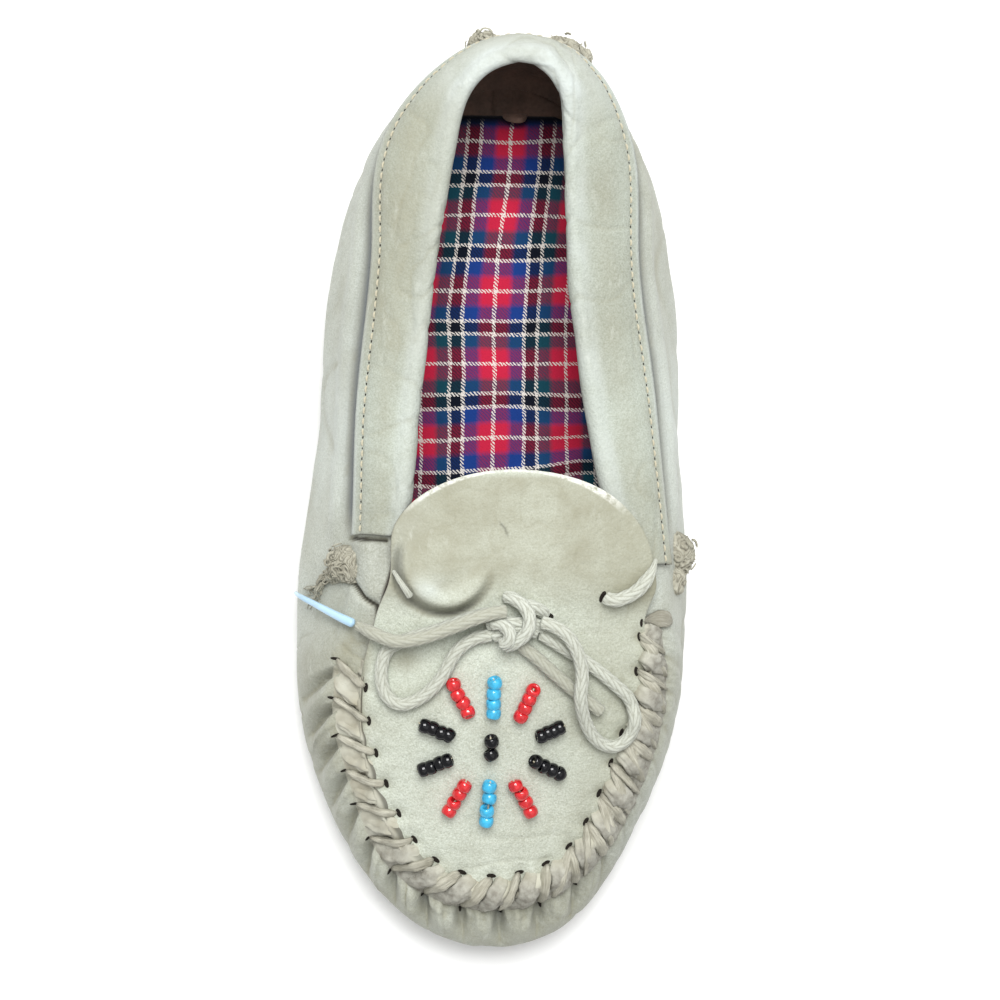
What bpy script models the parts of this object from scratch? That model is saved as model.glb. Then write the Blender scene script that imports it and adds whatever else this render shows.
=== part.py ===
"""Beaded moccasin for the left foot, as an assembly of its separate pieces.

Frame: metres, +Z up. The toe points to -Y, the heel to +Y, and +X is the inner (big toe) side.
The origin lies on the flat underside of the outsole, at the middle of the shoe's length.

The wrapper, the collar and the plug are worked out from four closed lines that run round the
foot: the sole edge, the widest line, the seam line and the top edge. Each line is a stretched
ellipse with a short table of stations, from the heel (0 degrees) to the toe (180 degrees).
All the tables below are in millimetres.
"""

import math
from collections import namedtuple

import bmesh
import bpy
from mathutils import Vector
from mathutils.bvhtree import BVHTree

MM = 0.001

Station = namedtuple("Station", "angle centre reach height")
Line = namedtuple("Line", "heel toe stations")
Swell = namedtuple("Swell", "angle height")
Ridge = namedtuple("Ridge", "width height stitches")
Spot = namedtuple("Spot", "point normal")
Knot = namedtuple("Knot", "name angle span long wide tall")
BeadRow = namedtuple("BeadRow", "name colour inner_x inner_y outer_x outer_y count")
Finish = namedtuple("Finish", "red green blue roughness")

# Driving dimensions, in millimetres
FIT_GAP = 0.35
WRAPPER_WALL = 1.6
WRAPPER_ROUNDING = 1.9
PLUG_WALL = 1.8
PLUG_GAP = 0.5
COLLAR_WALL = 1.3
COLLAR_GAP = 0.45
COLLAR_PUFF = 0.72
COLLAR_TURN_DOWN = 11.0
OUTSOLE_THICK = 2.4
OUTSOLE_BEVEL = 0.5
OUTSOLE_STEP = 0.8
OUTSOLE_STEP_THICK = 1.0
INSOLE_THICK = 2.6
INSOLE_INSET = 1.2
INSOLE_ROUNDING = 0.8
WAIST_LIFT = 1.0
WAIST = (14.0, 34.0, 36.0, 54.0)
TOE_SPRING = 4.5
TOE_SPRING_FROM = -76.0
TOE_SPRING_RUN = 40.0
HEEL_SPRING = 0.8
HEEL_SPRING_FROM = 104.0
HEEL_SPRING_TO = 124.0
SPRING_SHARE = 0.7
LACE_WIDTH = 3.7
LACE_SPACING = 2.2
AGLET_WIDTH = 2.2
BEAD_WIDTH = 3.3
BEAD_WAIST = 0.62
# The raised seams: the whip-laced joint round the toe, and the U at the back of the heel
TOE_RIDGE = Ridge(8.4, 3.6, 24)
HEEL_RIDGE = Ridge(5.6, 2.6, 10)
# Places across a raised seam, as shares of its half width from the wrapper's side inwards, and how
# far inwards the underside looks there for what it must clear
RIDGE_UNDER = ((-1.0, 0.0), (-0.55, 0.0), (-0.26, 0.0), (-0.14, 0.5), (0.45, 0.01), (1.0, 0.0))
RIDGE_GAP = 0.55
RIDGE_THINNEST = 0.9
RIDGE_FALL = 0.62
RIDGE_WAVE = 0.2
RIDGE_ROWS_PER_STITCH = 3

# How finely the soft pieces are faceted
RING_STEPS = 64
SPAN_STEPS = 3
COLLAR_STEPS = 36
PLUG_ROWS = 26
PLUG_COLUMNS = 10
BEAD_SIDES = 8
KNOT_RINGS = 6
KNOT_SIDES = 10
KNOT_LUMP = 0.10

# The four lines of the wrapper. Heights are above the floor for a flat sole.
SOLE_EDGE = Line(115.0, -114.0, (
    Station(0, 4.0, 55.0, 2.75),
    Station(20, 3.2, 56.0, 2.75),
    Station(40, 2.5, 49.8, 2.75),
    Station(60, 1.0, 43.4, 2.75),
    Station(80, -0.7, 39.8, 2.75),
    Station(100, -1.4, 45.3, 2.75),
    Station(120, -1.7, 51.0, 2.75),
    Station(140, -2.4, 53.4, 2.75),
    Station(160, -1.7, 61.0, 2.75),
    Station(180, -0.5, 61.5, 2.75),
))
WIDEST = Line(123.0, -122.4, (
    Station(0, 4.0, 54.0, 17.0),
    Station(20, 4.0, 54.1, 16.5),
    Station(40, 2.8, 56.5, 15.0),
    Station(60, 2.0, 53.4, 14.0),
    Station(80, 0.9, 50.4, 13.5),
    Station(100, -0.6, 54.6, 13.0),
    Station(120, -1.9, 59.3, 12.5),
    Station(140, -2.6, 60.7, 12.0),
    Station(160, -1.0, 63.9, 12.0),
    Station(180, -0.2, 64.5, 12.0),
))
SEAM = Line(121.5, -110.6, (
    Station(0, 3.9, 54.0, 42.0),
    Station(20, 3.2, 53.5, 41.5),
    Station(40, 0.6, 48.3, 40.5),
    Station(60, 0.1, 38.9, 39.5),
    Station(80, 0.4, 37.7, 39.5),
    Station(100, 1.4, 42.0, 41.0),
    Station(120, 1.5, 52.3, 35.0),
    Station(140, -0.4, 58.4, 27.5),
    Station(160, -0.8, 65.5, 22.5),
    Station(180, -0.8, 66.5, 20.5),
))
TOP_EDGE = Line(114.5, -106.5, (
    Station(0, 3.0, 33.0, 55.8),
    Station(20, 1.7, 31.4, 54.5),
    Station(40, -0.3, 24.4, 50.7),
    Station(60, -1.5, 21.7, 47.6),
    Station(80, -1.4, 22.2, 46.3),
    Station(100, 0.0, 31.5, 47.5),
    Station(120, -0.1, 44.6, 39.8),
    Station(140, -1.0, 50.6, 31.5),
    Station(160, -1.1, 57.3, 26.5),
    Station(180, -0.6, 60.0, 24.5),
))
WRAPPER_LINES = (SOLE_EDGE, WIDEST, SEAM, TOP_EDGE)
SPAN_TOP = 3.0
NORMAL_STEP = 0.02
WALK_STEP = 0.05

# The free end of the tongue, which lies over the collar's front ends
TONGUE_END = 8.6
TONGUE = (
    Station(0, 1.0, 56.0, 52.2),
    Station(20, 1.5, 54.5, 52.0),
    Station(40, 1.9, 48.7, 51.0),
    Station(60, 3.6, 40.2, 49.2),
    Station(80, 0.5, 40.0, 43.6),
)
# How far round itself the plug looks for what it must clear, and where it leaves the seam
PLUG_REST = 2.2
PLUG_FREE_FROM = -21.0
PLUG_SEWN_FROM = -34.0
# How far the plug swells above its own edge, from the tongue's end (0) to the toe (180)
PLUG_SWELL = (
    Swell(0, 0.8),
    Swell(30, 2.0),
    Swell(60, 3.6),
    Swell(90, 5.2),
    Swell(120, 4.2),
    Swell(150, 2.4),
    Swell(180, 0.8),
)

# The collar's section: shares of the way from the seam to the top edge, the turns over the top
# edge in degrees, and the shares of its turn-down inside
COLLAR_SHARES = (0.0, 0.28, 0.55, 0.8, 1.0)
COLLAR_TURNS = (45, 90, 135)
COLLAR_INSIDE = (0.0, 0.35, 0.7, 1.0)
COLLAR_FROM_SPAN = 2.02
# Where the collar stops, in degrees from the heel on each side
COLLAR_FRONT_OUTER = -97.0
COLLAR_FRONT_INNER = 101.0
# The raised toe seam, in degrees from the heel
LACING_OUTER = -114.5
LACING_INNER = 109.8

BEAD_ROWS = (
    BeadRow("bead_row_black_centre", "black", -4.2, -65.8, -4.4, -62.6, 2),
    BeadRow("bead_row_blue_top", "blue", -4.0, -54.9, -4.0, -46.8, 4),
    BeadRow("bead_row_red_top_outer", "red", -10.5, -54.7, -14.7, -47.4, 4),
    BeadRow("bead_row_red_top_inner", "red", 3.3, -56.0, 6.2, -49.2, 4),
    BeadRow("bead_row_black_top_outer", "black", -15.4, -60.8, -21.7, -58.2, 4),
    BeadRow("bead_row_black_top_inner", "black", 8.9, -61.3, 13.7, -59.2, 4),
    BeadRow("bead_row_black_toe_outer", "black", -15.8, -67.7, -21.8, -70.1, 4),
    BeadRow("bead_row_black_toe_inner", "black", 7.7, -68.5, 14.3, -71.7, 4),
    BeadRow("bead_row_red_toe_outer", "red", -11.1, -74.6, -14.8, -81.7, 4),
    BeadRow("bead_row_blue_toe", "blue", -4.2, -74.9, -4.8, -84.4, 4),
    BeadRow("bead_row_red_toe_inner", "red", 2.7, -74.6, 6.9, -82.0, 4),
)

# Lace routes seen from above: x, y and the height of the lace above what it lies on
LACE_BAR_INNER = ((24.6, -24.4, 0), (28.5, -25.2, 0), (33.0, -23.0, 0), (36.8, -18.4, 0))
LACE_BAR_OUTER = ((-30.6, -20.0, 0), (-28.6, -22.0, 0), (-26.6, -24.0, 0))
LACE_LOOP_OUTER = (
    (-4.6, -34.2, 0), (-9.4, -35.2, 0), (-13.9, -38.8, 0), (-18.0, -46.1, 0), (-22.7, -50.7, 0),
    (-27.9, -52.6, 0), (-31.8, -50.0, 0), (-33.1, -44.3, 0), (-31.6, -38.4, 0), (-26.6, -35.4, 0),
    (-18.8, -33.0, 0), (-11.0, -30.0, 0), (-5.4, -28.4, 0),
)
LACE_LOOP_INNER = (
    (7.4, -30.6, 2.6), (11.0, -31.9, 3.6), (14.6, -34.6, 4.3), (17.4, -39.4, 4.3),
    (18.6, -44.8, 4.3), (18.4, -51.0, 4.2), (20.3, -57.5, 1.5), (23.7, -62.6, 0), (28.4, -64.6, 0),
    (32.3, -62.2, 0), (33.8, -57.5, 0), (32.3, -52.0, 0), (28.4, -48.1, 0), (22.9, -43.6, 0),
    (18.6, -40.6, 0), (14.4, -38.0, 0), (10.6, -35.6, 0), (7.6, -33.8, 0),
)
LACE_END_OUTER = (
    (-4.4, -28.2, 3.4), (-9.4, -29.6, 4.6), (-16.4, -32.4, 4.6), (-23.4, -34.8, 4.6),
    (-29.8, -35.6, 4.6), (-35.6, -33.6, 2.2), (-39.6, -31.8, 1.0),
)
LACE_AGLET = ((-40.0, -31.6, 2.0), (-44.6, -29.6, 2.2), (-50.0, -27.1, 4.6), (-55.0, -24.8, 9.0))
LACE_END_INNER = (
    (3.4, -37.4, 0), (7.1, -40.4, 0), (11.6, -44.4, 0), (16.5, -48.6, 0), (21.1, -52.2, 0),
    (24.8, -55.1, 0),
)
LACE_KNOT_X = 1.0
LACE_KNOT_Y = -31.4
LACE_KNOT_WIDE = 8.0
LACE_KNOT_LONG = 9.5
LACE_KNOT_TALL = 6.2

# Thong knots: place on the wrapper in degrees and spans, length along the seam, width, height
THONG_KNOTS = (
    Knot("side_knot_outer", -100.6, 1.87, 11.0, 11.0, 6.5),
    Knot("side_knot_inner", 99.9, 1.66, 15.0, 8.0, 6.0),
    Knot("heel_knot_outer", -9.8, 1.74, 9.0, 7.5, 6.0),
    Knot("heel_knot_inner", 13.6, 1.74, 9.0, 7.5, 6.0),
)
# The raised heel seam is a U that hangs between the two heel knots: degrees and spans
HEEL_SEAM_HALF = 11.2
HEEL_SEAM_CENTRE = 1.9
HEEL_SEAM_TOP = 1.58
HEEL_SEAM_DROP = 0.72
HEEL_SEAM_ROUNDING = 0.8

LEATHER = Finish(0.62, 0.59, 0.50, 0.75)
SOLE_LEATHER = Finish(0.47, 0.38, 0.28, 0.80)
THONG = Finish(0.45, 0.41, 0.33, 0.85)
COTTON_LACE = Finish(0.66, 0.63, 0.54, 0.90)
AGLET_BLUE = Finish(0.48, 0.68, 0.84, 0.35)
TARTAN = Finish(0.45, 0.05, 0.08, 0.90)
BEAD_FINISH = {
    "red": Finish(0.70, 0.02, 0.03, 0.15),
    "blue": Finish(0.04, 0.46, 0.76, 0.15),
    "black": Finish(0.01, 0.01, 0.015, 0.10),
}


def clear_scene():
    """Empties the scene."""
    for item in list(bpy.data.objects):
        bpy.data.objects.remove(item, do_unlink=True)


def smooth_value(stations, angle, column):
    """Reads a column of a table at an angle, on a smooth curve through its stations."""
    last = len(stations) - 1
    angle = max(stations[0].angle, min(stations[last].angle, angle))
    index = 0
    while index < last - 1 and angle > stations[index + 1].angle:
        index += 1
    before = getattr(stations[max(index - 1, 0)], column)
    start = getattr(stations[index], column)
    end = getattr(stations[index + 1], column)
    after = getattr(stations[min(index + 2, last)], column)
    t = (angle - stations[index].angle) / (stations[index + 1].angle - stations[index].angle)
    start_slope = (end - before) / 2
    end_slope = (after - start) / 2
    return (
        start * (2 * t**3 - 3 * t**2 + 1)
        + start_slope * (t**3 - 2 * t**2 + t)
        + end * (3 * t**2 - 2 * t**3)
        + end_slope * (t**3 - t**2)
    )


def ease(value, low, high):
    """Goes smoothly from 0 at low to 1 at high."""
    t = max(0.0, min(1.0, (value - low) / (high - low)))
    return t * t * (3 - 2 * t)


def floor_lift(y):
    """Height of the sole's underside above the floor: flat under the forefoot and the heel."""
    waist = WAIST_LIFT * ease(y, WAIST[0], WAIST[1]) * (1 - ease(y, WAIST[2], WAIST[3]))
    toe = TOE_SPRING * max(0.0, (TOE_SPRING_FROM - y) / TOE_SPRING_RUN) ** 2
    heel = HEEL_SPRING * ease(y, HEEL_SPRING_FROM, HEEL_SPRING_TO)
    return waist + toe + heel


def line_point(line, angle):
    """A point of one of the wrapper's lines. Negative angles are on the outer side, at -X."""
    side = 1 if angle >= 0 else -1
    turn = abs(angle)
    middle = (line.heel + line.toe) / 2
    half = (line.heel - line.toe) / 2
    y = middle + half * math.cos(math.radians(turn))
    across = smooth_value(line.stations, turn, "reach") * math.sin(math.radians(turn))
    x = smooth_value(line.stations, turn, "centre") + side * across
    lift_share = 1.0 if line is SOLE_EDGE else SPRING_SHARE
    z = smooth_value(line.stations, turn, "height") + lift_share * floor_lift(y)
    return Vector((x, y, z))


def wrapper_point(angle, span):
    """The wrapper's outer face: span 0 at the sole edge, 1 widest, 2 at the seam, 3 at the top."""
    points = [line_point(line, angle) for line in WRAPPER_LINES]
    outward = (points[1] - points[0]) * Vector((1, 1, 0))
    slopes = [
        outward * WRAPPER_ROUNDING,
        (points[2] - points[0]) / 2,
        (points[3] - points[1]) / 2,
        points[3] - points[2],
    ]
    index = min(2, max(0, int(span)))
    t = span - index
    return (
        points[index] * (2 * t**3 - 3 * t**2 + 1)
        + slopes[index] * (t**3 - 2 * t**2 + t)
        + points[index + 1] * (3 * t**2 - 2 * t**3)
        + slopes[index + 1] * (t**3 - t**2)
    )


def wrapper_normal(angle, span):
    """The outward direction of the wrapper's outer face."""
    along = wrapper_point(angle + 1, span) - wrapper_point(angle - 1, span)
    low = max(0.0, span - NORMAL_STEP)
    high = min(SPAN_TOP, span + NORMAL_STEP)
    up = wrapper_point(angle, high) - wrapper_point(angle, low)
    return up.cross(along).normalized()


def leather_material(name, finish):
    """A Principled material of one plain colour."""
    material = bpy.data.materials.new(name)
    material.use_nodes = True
    shader = material.node_tree.nodes["Principled BSDF"]
    shader.inputs["Base Color"].default_value = (finish.red, finish.green, finish.blue, 1)
    shader.inputs["Roughness"].default_value = finish.roughness
    shader.inputs["Metallic"].default_value = 0
    material.diffuse_color = (finish.red, finish.green, finish.blue, 1)
    return material


def make_object(name, points, faces, finish):
    """A closed mesh object from points in millimetres, with its faces pointing out."""
    mesh = bpy.data.meshes.new(name)
    mesh.from_pydata([tuple(point * MM) for point in points], [], faces)
    shape = bmesh.new()
    shape.from_mesh(mesh)
    bmesh.ops.recalc_face_normals(shape, faces=shape.faces)
    bmesh.ops.triangulate(shape, faces=shape.faces)
    shape.to_mesh(mesh)
    shape.free()
    mesh.shade_smooth()
    piece = bpy.data.objects.new(name, mesh)
    bpy.context.scene.collection.objects.link(piece)
    mesh.materials.append(leather_material(name, finish))
    return piece


def close_sheet(top, bottom, faces, border):
    """Joins a sheet and its shifted copy into one closed body."""
    count = len(top)
    closed = list(faces)
    closed += [tuple(count + corner for corner in reversed(face)) for face in faces]
    for start, end in zip(border, border[1:] + border[:1]):
        closed.append((end, start, count + start, count + end))
    return top + bottom, closed


def ladder(count, base):
    """Faces that close a ring of points across its width, row by row."""
    faces = []
    half = count // 2
    for step in range(1, half - 1):
        faces.append((base + step, base + step + 1, base + count - step - 1, base + count - step))
    faces.append((base, base + 1, base + count - 1))
    faces.append((base + half - 1, base + half, base + half + 1))
    return faces


def ring_angles(count):
    """Angles round the foot, starting at the heel and going to the inner side first."""
    angles = [360 * step / count for step in range(count)]
    return [angle if angle <= 180 else angle - 360 for angle in angles]


def build_wrapper():
    """The upper: one leather wrapper that passes under the foot and stands up all round."""
    angles = ring_angles(RING_STEPS)
    rows = SPAN_STEPS * 3
    outer = []
    inner = []
    for row in range(rows + 1):
        span = SPAN_TOP * row / rows
        for angle in angles:
            point = wrapper_point(angle, span)
            outer.append(point)
            if row == 0:
                inner.append(point + Vector((0, 0, WRAPPER_WALL)))
            else:
                inner.append(point - wrapper_normal(angle, span) * WRAPPER_WALL)
    faces = []
    for row in range(rows):
        for step in range(RING_STEPS):
            after = (step + 1) % RING_STEPS
            base = row * RING_STEPS
            faces.append((base + step, base + after, base + RING_STEPS + after, base + RING_STEPS + step))
    faces += [tuple(reversed(face)) for face in ladder(RING_STEPS, 0)]
    border = [rows * RING_STEPS + step for step in range(RING_STEPS)]
    points, closed = close_sheet(outer, inner, faces, border)
    return make_object("upper", points, closed, LEATHER)


def sole_ring(inset, height, count):
    """The sole's outline, moved in by inset, at a height above its own underside."""
    ring = []
    for angle in ring_angles(count):
        point = line_point(SOLE_EDGE, angle)
        ahead = line_point(SOLE_EDGE, angle + 2 if angle < 178 else angle - 358)
        behind = line_point(SOLE_EDGE, angle - 2 if angle > -178 else angle + 358)
        along = (ahead - behind) * Vector((1, 1, 0))
        inward = Vector((along.y, -along.x, 0)).normalized()
        if inward.dot(point * Vector((1, 1, 0))) > 0:
            inward = -inward
        x = point.x + inward.x * inset
        y = point.y + inward.y * inset
        ring.append(Vector((x, y, height + floor_lift(y))))
    return ring


def stack_rings(name, rings, finish):
    """A closed body from rings of equal count, closed across at the bottom and the top."""
    count = len(rings[0])
    points = [point for ring in rings for point in ring]
    faces = []
    for level in range(len(rings) - 1):
        base = level * count
        for step in range(count):
            after = (step + 1) % count
            faces.append((base + step, base + after, base + count + after, base + count + step))
    faces += [tuple(reversed(face)) for face in ladder(count, 0)]
    faces += ladder(count, (len(rings) - 1) * count)
    return make_object(name, points, faces, finish)


def build_outsole():
    """A thin leather outsole with a small step and a rounded lower edge."""
    count = RING_STEPS
    step_height = OUTSOLE_THICK - OUTSOLE_STEP_THICK
    rings = [
        sole_ring(OUTSOLE_BEVEL, 0.0, count),
        sole_ring(0.0, OUTSOLE_BEVEL, count),
        sole_ring(0.0, step_height, count),
        sole_ring(OUTSOLE_STEP, step_height + 0.1, count),
        sole_ring(OUTSOLE_STEP, OUTSOLE_THICK, count),
    ]
    return stack_rings("outsole", rings, SOLE_LEATHER)


def build_insole():
    """A padded insole that lies on the wrapper's floor."""
    count = RING_STEPS
    base = SOLE_EDGE.stations[0].height + WRAPPER_WALL + FIT_GAP
    rings = [
        sole_ring(INSOLE_INSET + INSOLE_ROUNDING, base, count),
        sole_ring(INSOLE_INSET, base + INSOLE_ROUNDING, count),
        sole_ring(INSOLE_INSET, base + INSOLE_THICK - INSOLE_ROUNDING, count),
        sole_ring(INSOLE_INSET + 2 * INSOLE_ROUNDING, base + INSOLE_THICK, count),
    ]
    return stack_rings("insole", rings, TARTAN)


def collar_section(angle):
    """The collar's inner face at one angle: up over the wrapper's edge and down inside."""
    section = []
    for share in COLLAR_SHARES:
        span = COLLAR_FROM_SPAN + (SPAN_TOP - COLLAR_FROM_SPAN) * share
        lift = COLLAR_GAP + COLLAR_PUFF * math.sin(math.pi * share) ** 2
        section.append(wrapper_point(angle, span) + wrapper_normal(angle, span) * lift)
    rim = wrapper_point(angle, SPAN_TOP)
    normal = wrapper_normal(angle, SPAN_TOP)
    up = (rim - wrapper_point(angle, SPAN_TOP - WALK_STEP)).normalized()
    half = WRAPPER_WALL / 2 + COLLAR_GAP
    hub = rim - normal * (WRAPPER_WALL / 2)
    for turn in COLLAR_TURNS:
        angle_in = math.radians(turn)
        section.append(hub + normal * half * math.cos(angle_in) + up * half * math.sin(angle_in))
    for share in COLLAR_INSIDE:
        section.append(wrapper_inside(angle, COLLAR_TURN_DOWN * share))
    return section


def wrapper_inside(angle, down):
    """A point just inside the wrapper's inner face, a distance below its top edge."""
    span = SPAN_TOP
    walked = 0.0
    last = wrapper_point(angle, span)
    while walked < down:
        span -= WALK_STEP
        point = wrapper_point(angle, span)
        walked += (point - last).length
        last = point
    return last - wrapper_normal(angle, span) * (WRAPPER_WALL + COLLAR_GAP)


def build_collar():
    """The folded band that covers the wrapper's top edge from one side of the throat to the other."""
    steps = COLLAR_STEPS
    turn = COLLAR_FRONT_INNER - COLLAR_FRONT_OUTER
    angles = [COLLAR_FRONT_OUTER + turn * step / steps for step in range(steps + 1)]
    sections = [collar_section(angle) for angle in angles]
    size = len(sections[0])
    points = [point for section in sections for point in section]
    normals = sheet_normals(sections)
    outer = [point + normal * COLLAR_WALL for point, normal in zip(points, normals)]
    faces = []
    for row in range(steps):
        for column in range(size - 1):
            corner = row * size + column
            faces.append((corner, corner + 1, corner + size + 1, corner + size))
    border = list(range(size))
    border += [row * size + size - 1 for row in range(1, steps + 1)]
    border += [steps * size + column for column in range(size - 2, -1, -1)]
    border += [row * size for row in range(steps - 1, 0, -1)]
    closed_points, closed = close_sheet(points, outer, faces, border)
    return make_object("collar", closed_points, closed, LEATHER)


def sheet_normals(sections):
    """Directions away from the wrapper for a sheet made of sections side by side."""
    normals = []
    for row, section in enumerate(sections):
        ahead = sections[min(row + 1, len(sections) - 1)]
        behind = sections[max(row - 1, 0)]
        for column, _ in enumerate(section):
            along = ahead[column] - behind[column]
            down = section[min(column + 1, len(section) - 1)] - section[max(column - 1, 0)]
            normals.append(down.cross(along).normalized())
    return normals


def plug_edge(turn, side):
    """A point of the plug's outline: turn 0 at the tongue's end, 180 at the toe."""
    middle = (TONGUE_END + TOP_EDGE.toe) / 2
    half = (TONGUE_END - TOP_EDGE.toe) / 2
    y = middle + half * math.cos(math.radians(turn))
    free = ease(y, PLUG_SEWN_FROM, PLUG_FREE_FROM)
    sewn = Vector((0, 0, 0))
    loose = Vector((0, 0, 0))
    if free < 1:
        edge_middle = (TOP_EDGE.heel + TOP_EDGE.toe) / 2
        edge_half = (TOP_EDGE.heel - TOP_EDGE.toe) / 2
        share = max(-1.0, min(1.0, (y - edge_middle) / edge_half))
        sewn = line_point(TOP_EDGE, side * math.degrees(math.acos(share)))
        sewn.z += FIT_GAP
    if free > 0:
        across = smooth_value(TONGUE, turn, "reach") * math.sin(math.radians(turn))
        x = smooth_value(TONGUE, turn, "centre") + side * across
        loose = Vector((x, y, smooth_value(TONGUE, turn, "height")))
    return sewn * (1 - free) + loose * free


def build_plug(under):
    """The plug and its tongue, one swelling piece laced to the wrapper round the toe."""
    steps = PLUG_ROWS
    columns = PLUG_COLUMNS
    bottom = []
    rows = []
    for step in range(steps + 1):
        turn = 180 * step / steps
        left = plug_edge(turn, -1)
        right = plug_edge(turn, 1)
        if step in (0, steps):
            rows.append([len(bottom)])
            bottom.append((left + right) / 2)
            continue
        swell = smooth_value(PLUG_SWELL, turn, "height")
        row = []
        for column in range(columns + 1):
            share = column / columns
            point = left.lerp(right, share)
            point.z += swell * (1 - (2 * share - 1) ** 2)
            point.z = max(point.z, under.around(point.x, point.y, PLUG_REST) + PLUG_GAP)
            row.append(len(bottom))
            bottom.append(point)
        rows.append(row)
    faces = []
    for ahead, behind in zip(rows, rows[1:]):
        for column in range(columns):
            if len(ahead) == 1:
                faces.append((ahead[0], behind[column + 1], behind[column]))
            elif len(behind) == 1:
                faces.append((ahead[column], ahead[column + 1], behind[0]))
            else:
                faces.append((ahead[column], ahead[column + 1], behind[column + 1], behind[column]))
    border = [rows[0][0]] + [row[-1] for row in rows[1:-1]] + [rows[-1][0]]
    border += [row[0] for row in reversed(rows[1:-1])]
    top = [point + Vector((0, 0, PLUG_WALL)) for point in bottom]
    points, closed = close_sheet(bottom, top, faces, border)
    return make_object("plug_tongue", points, closed, LEATHER)


class Surface:
    """The upper faces of finished pieces, for setting other pieces down on them."""

    def __init__(self, pieces):
        points = []
        faces = []
        graph = bpy.context.evaluated_depsgraph_get()
        for piece in pieces:
            mesh = piece.evaluated_get(graph).to_mesh()
            base = len(points)
            points += [vertex.co / MM for vertex in mesh.vertices]
            faces += [tuple(base + corner for corner in face.vertices) for face in mesh.polygons]
        self.tree = BVHTree.FromPolygons(points, faces)

    def height(self, x, y):
        """The highest point of the pieces above (x, y), or the floor."""
        hit = self.tree.ray_cast(Vector((x, y, 200)), Vector((0, 0, -1)))[0]
        return hit.z if hit else 0.0

    def around(self, x, y, radius):
        """The highest point of the pieces within a small circle round (x, y)."""
        heights = [self.height(x, y)]
        for step in range(8):
            angle = math.tau * step / 8
            heights.append(self.height(x + radius * math.cos(angle), y + radius * math.sin(angle)))
        return max(heights)


def smooth_route(route, spacing):
    """Points on a smooth curve through a route's own points, evenly spaced."""
    dense = []
    last = len(route) - 1
    for index in range(last):
        before = route[max(index - 1, 0)]
        start = route[index]
        end = route[index + 1]
        after = route[min(index + 2, last)]
        for part in range(12):
            t = part / 12
            dense.append(
                start * (2 * t**3 - 3 * t**2 + 1)
                + (end - before) / 2 * (t**3 - 2 * t**2 + t)
                + end * (3 * t**2 - 2 * t**3)
                + (after - start) / 2 * (t**3 - t**2)
            )
    dense.append(route[last])
    lengths = [0.0]
    for start, end in zip(dense, dense[1:]):
        lengths.append(lengths[-1] + (end - start).length)
    count = max(3, round(lengths[-1] / spacing))
    points = []
    index = 0
    for step in range(count + 1):
        target = lengths[-1] * step / count
        while index < len(dense) - 2 and lengths[index + 1] < target:
            index += 1
        share = (target - lengths[index]) / (lengths[index + 1] - lengths[index])
        points.append(dense[index].lerp(dense[index + 1], share))
    return points


def build_cord(name, route, width, surface, finish):
    """A round lace laid on the surface along a route of (x, y, height above the surface)."""
    flat = smooth_route([Vector(point) for point in route], LACE_SPACING * width)
    path = []
    for point in flat:
        rest = surface.around(point.x, point.y, width * 0.45)
        height = rest + FIT_GAP + width / 2 + point.z
        path.append(Vector((point.x, point.y, height)))
    for _ in range(2):
        smoothed = [path[0]]
        for before, here, after in zip(path, path[1:], path[2:]):
            level = max(here.z, (before.z + 2 * here.z + after.z) / 4)
            smoothed.append(Vector((here.x, here.y, level)))
        path = smoothed + [path[-1]]
    curve = bpy.data.curves.new(name, "CURVE")
    curve.dimensions = "3D"
    curve.bevel_depth = width / 2 * MM
    curve.bevel_resolution = 2
    curve.use_fill_caps = True
    spline = curve.splines.new("POLY")
    spline.points.add(len(path) - 1)
    for spot, point in zip(spline.points, path):
        spot.co = (point.x * MM, point.y * MM, point.z * MM, 1)
    cord = bpy.data.objects.new(name, curve)
    bpy.context.scene.collection.objects.link(cord)
    curve.materials.append(leather_material(name, finish))
    return cord


def build_ridge(name, path, ridge, surface):
    """A raised seam: a rope of slanting lumps laid over a joint."""
    points = []
    count = len(path)
    half = ridge.width / 2
    for index, spot in enumerate(path):
        ahead = path[min(index + 1, count - 1)]
        behind = path[max(index - 1, 0)]
        along = (ahead.point - behind.point).normalized()
        across = spot.normal.cross(along).normalized()
        place = index / (count - 1)
        taper = min(1.0, 0.35 + 6 * min(place, 1 - place))
        under = []
        for share, look in RIDGE_UNDER:
            offset = spot.point + across * share * half
            seat = settle(offset, spot.normal, surface, RIDGE_GAP)
            if look:
                inward = settle(offset + across * look * half, spot.normal, surface, RIDGE_GAP)
                seat += spot.normal * max(0.0, (inward - seat).dot(spot.normal))
            under.append(seat)
        over = []
        for (share, _), seat in zip(RIDGE_UNDER[1:-1], under[1:-1]):
            wave = math.cos(math.tau * (ridge.stitches * place + 0.45 * share))
            lump = 1 - RIDGE_WAVE + RIDGE_WAVE * wave
            rise = ridge.height * taper * lump * (1 - RIDGE_FALL * share**2)
            base = under[0].lerp(under[-1], (share + 1) / 2)
            thick = max(RIDGE_THINNEST, (base - seat).dot(spot.normal) + rise)
            over.append(seat + spot.normal * thick)
        points += under + over[::-1]
    return make_object(name, points, ridge_faces(count), THONG)


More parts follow.
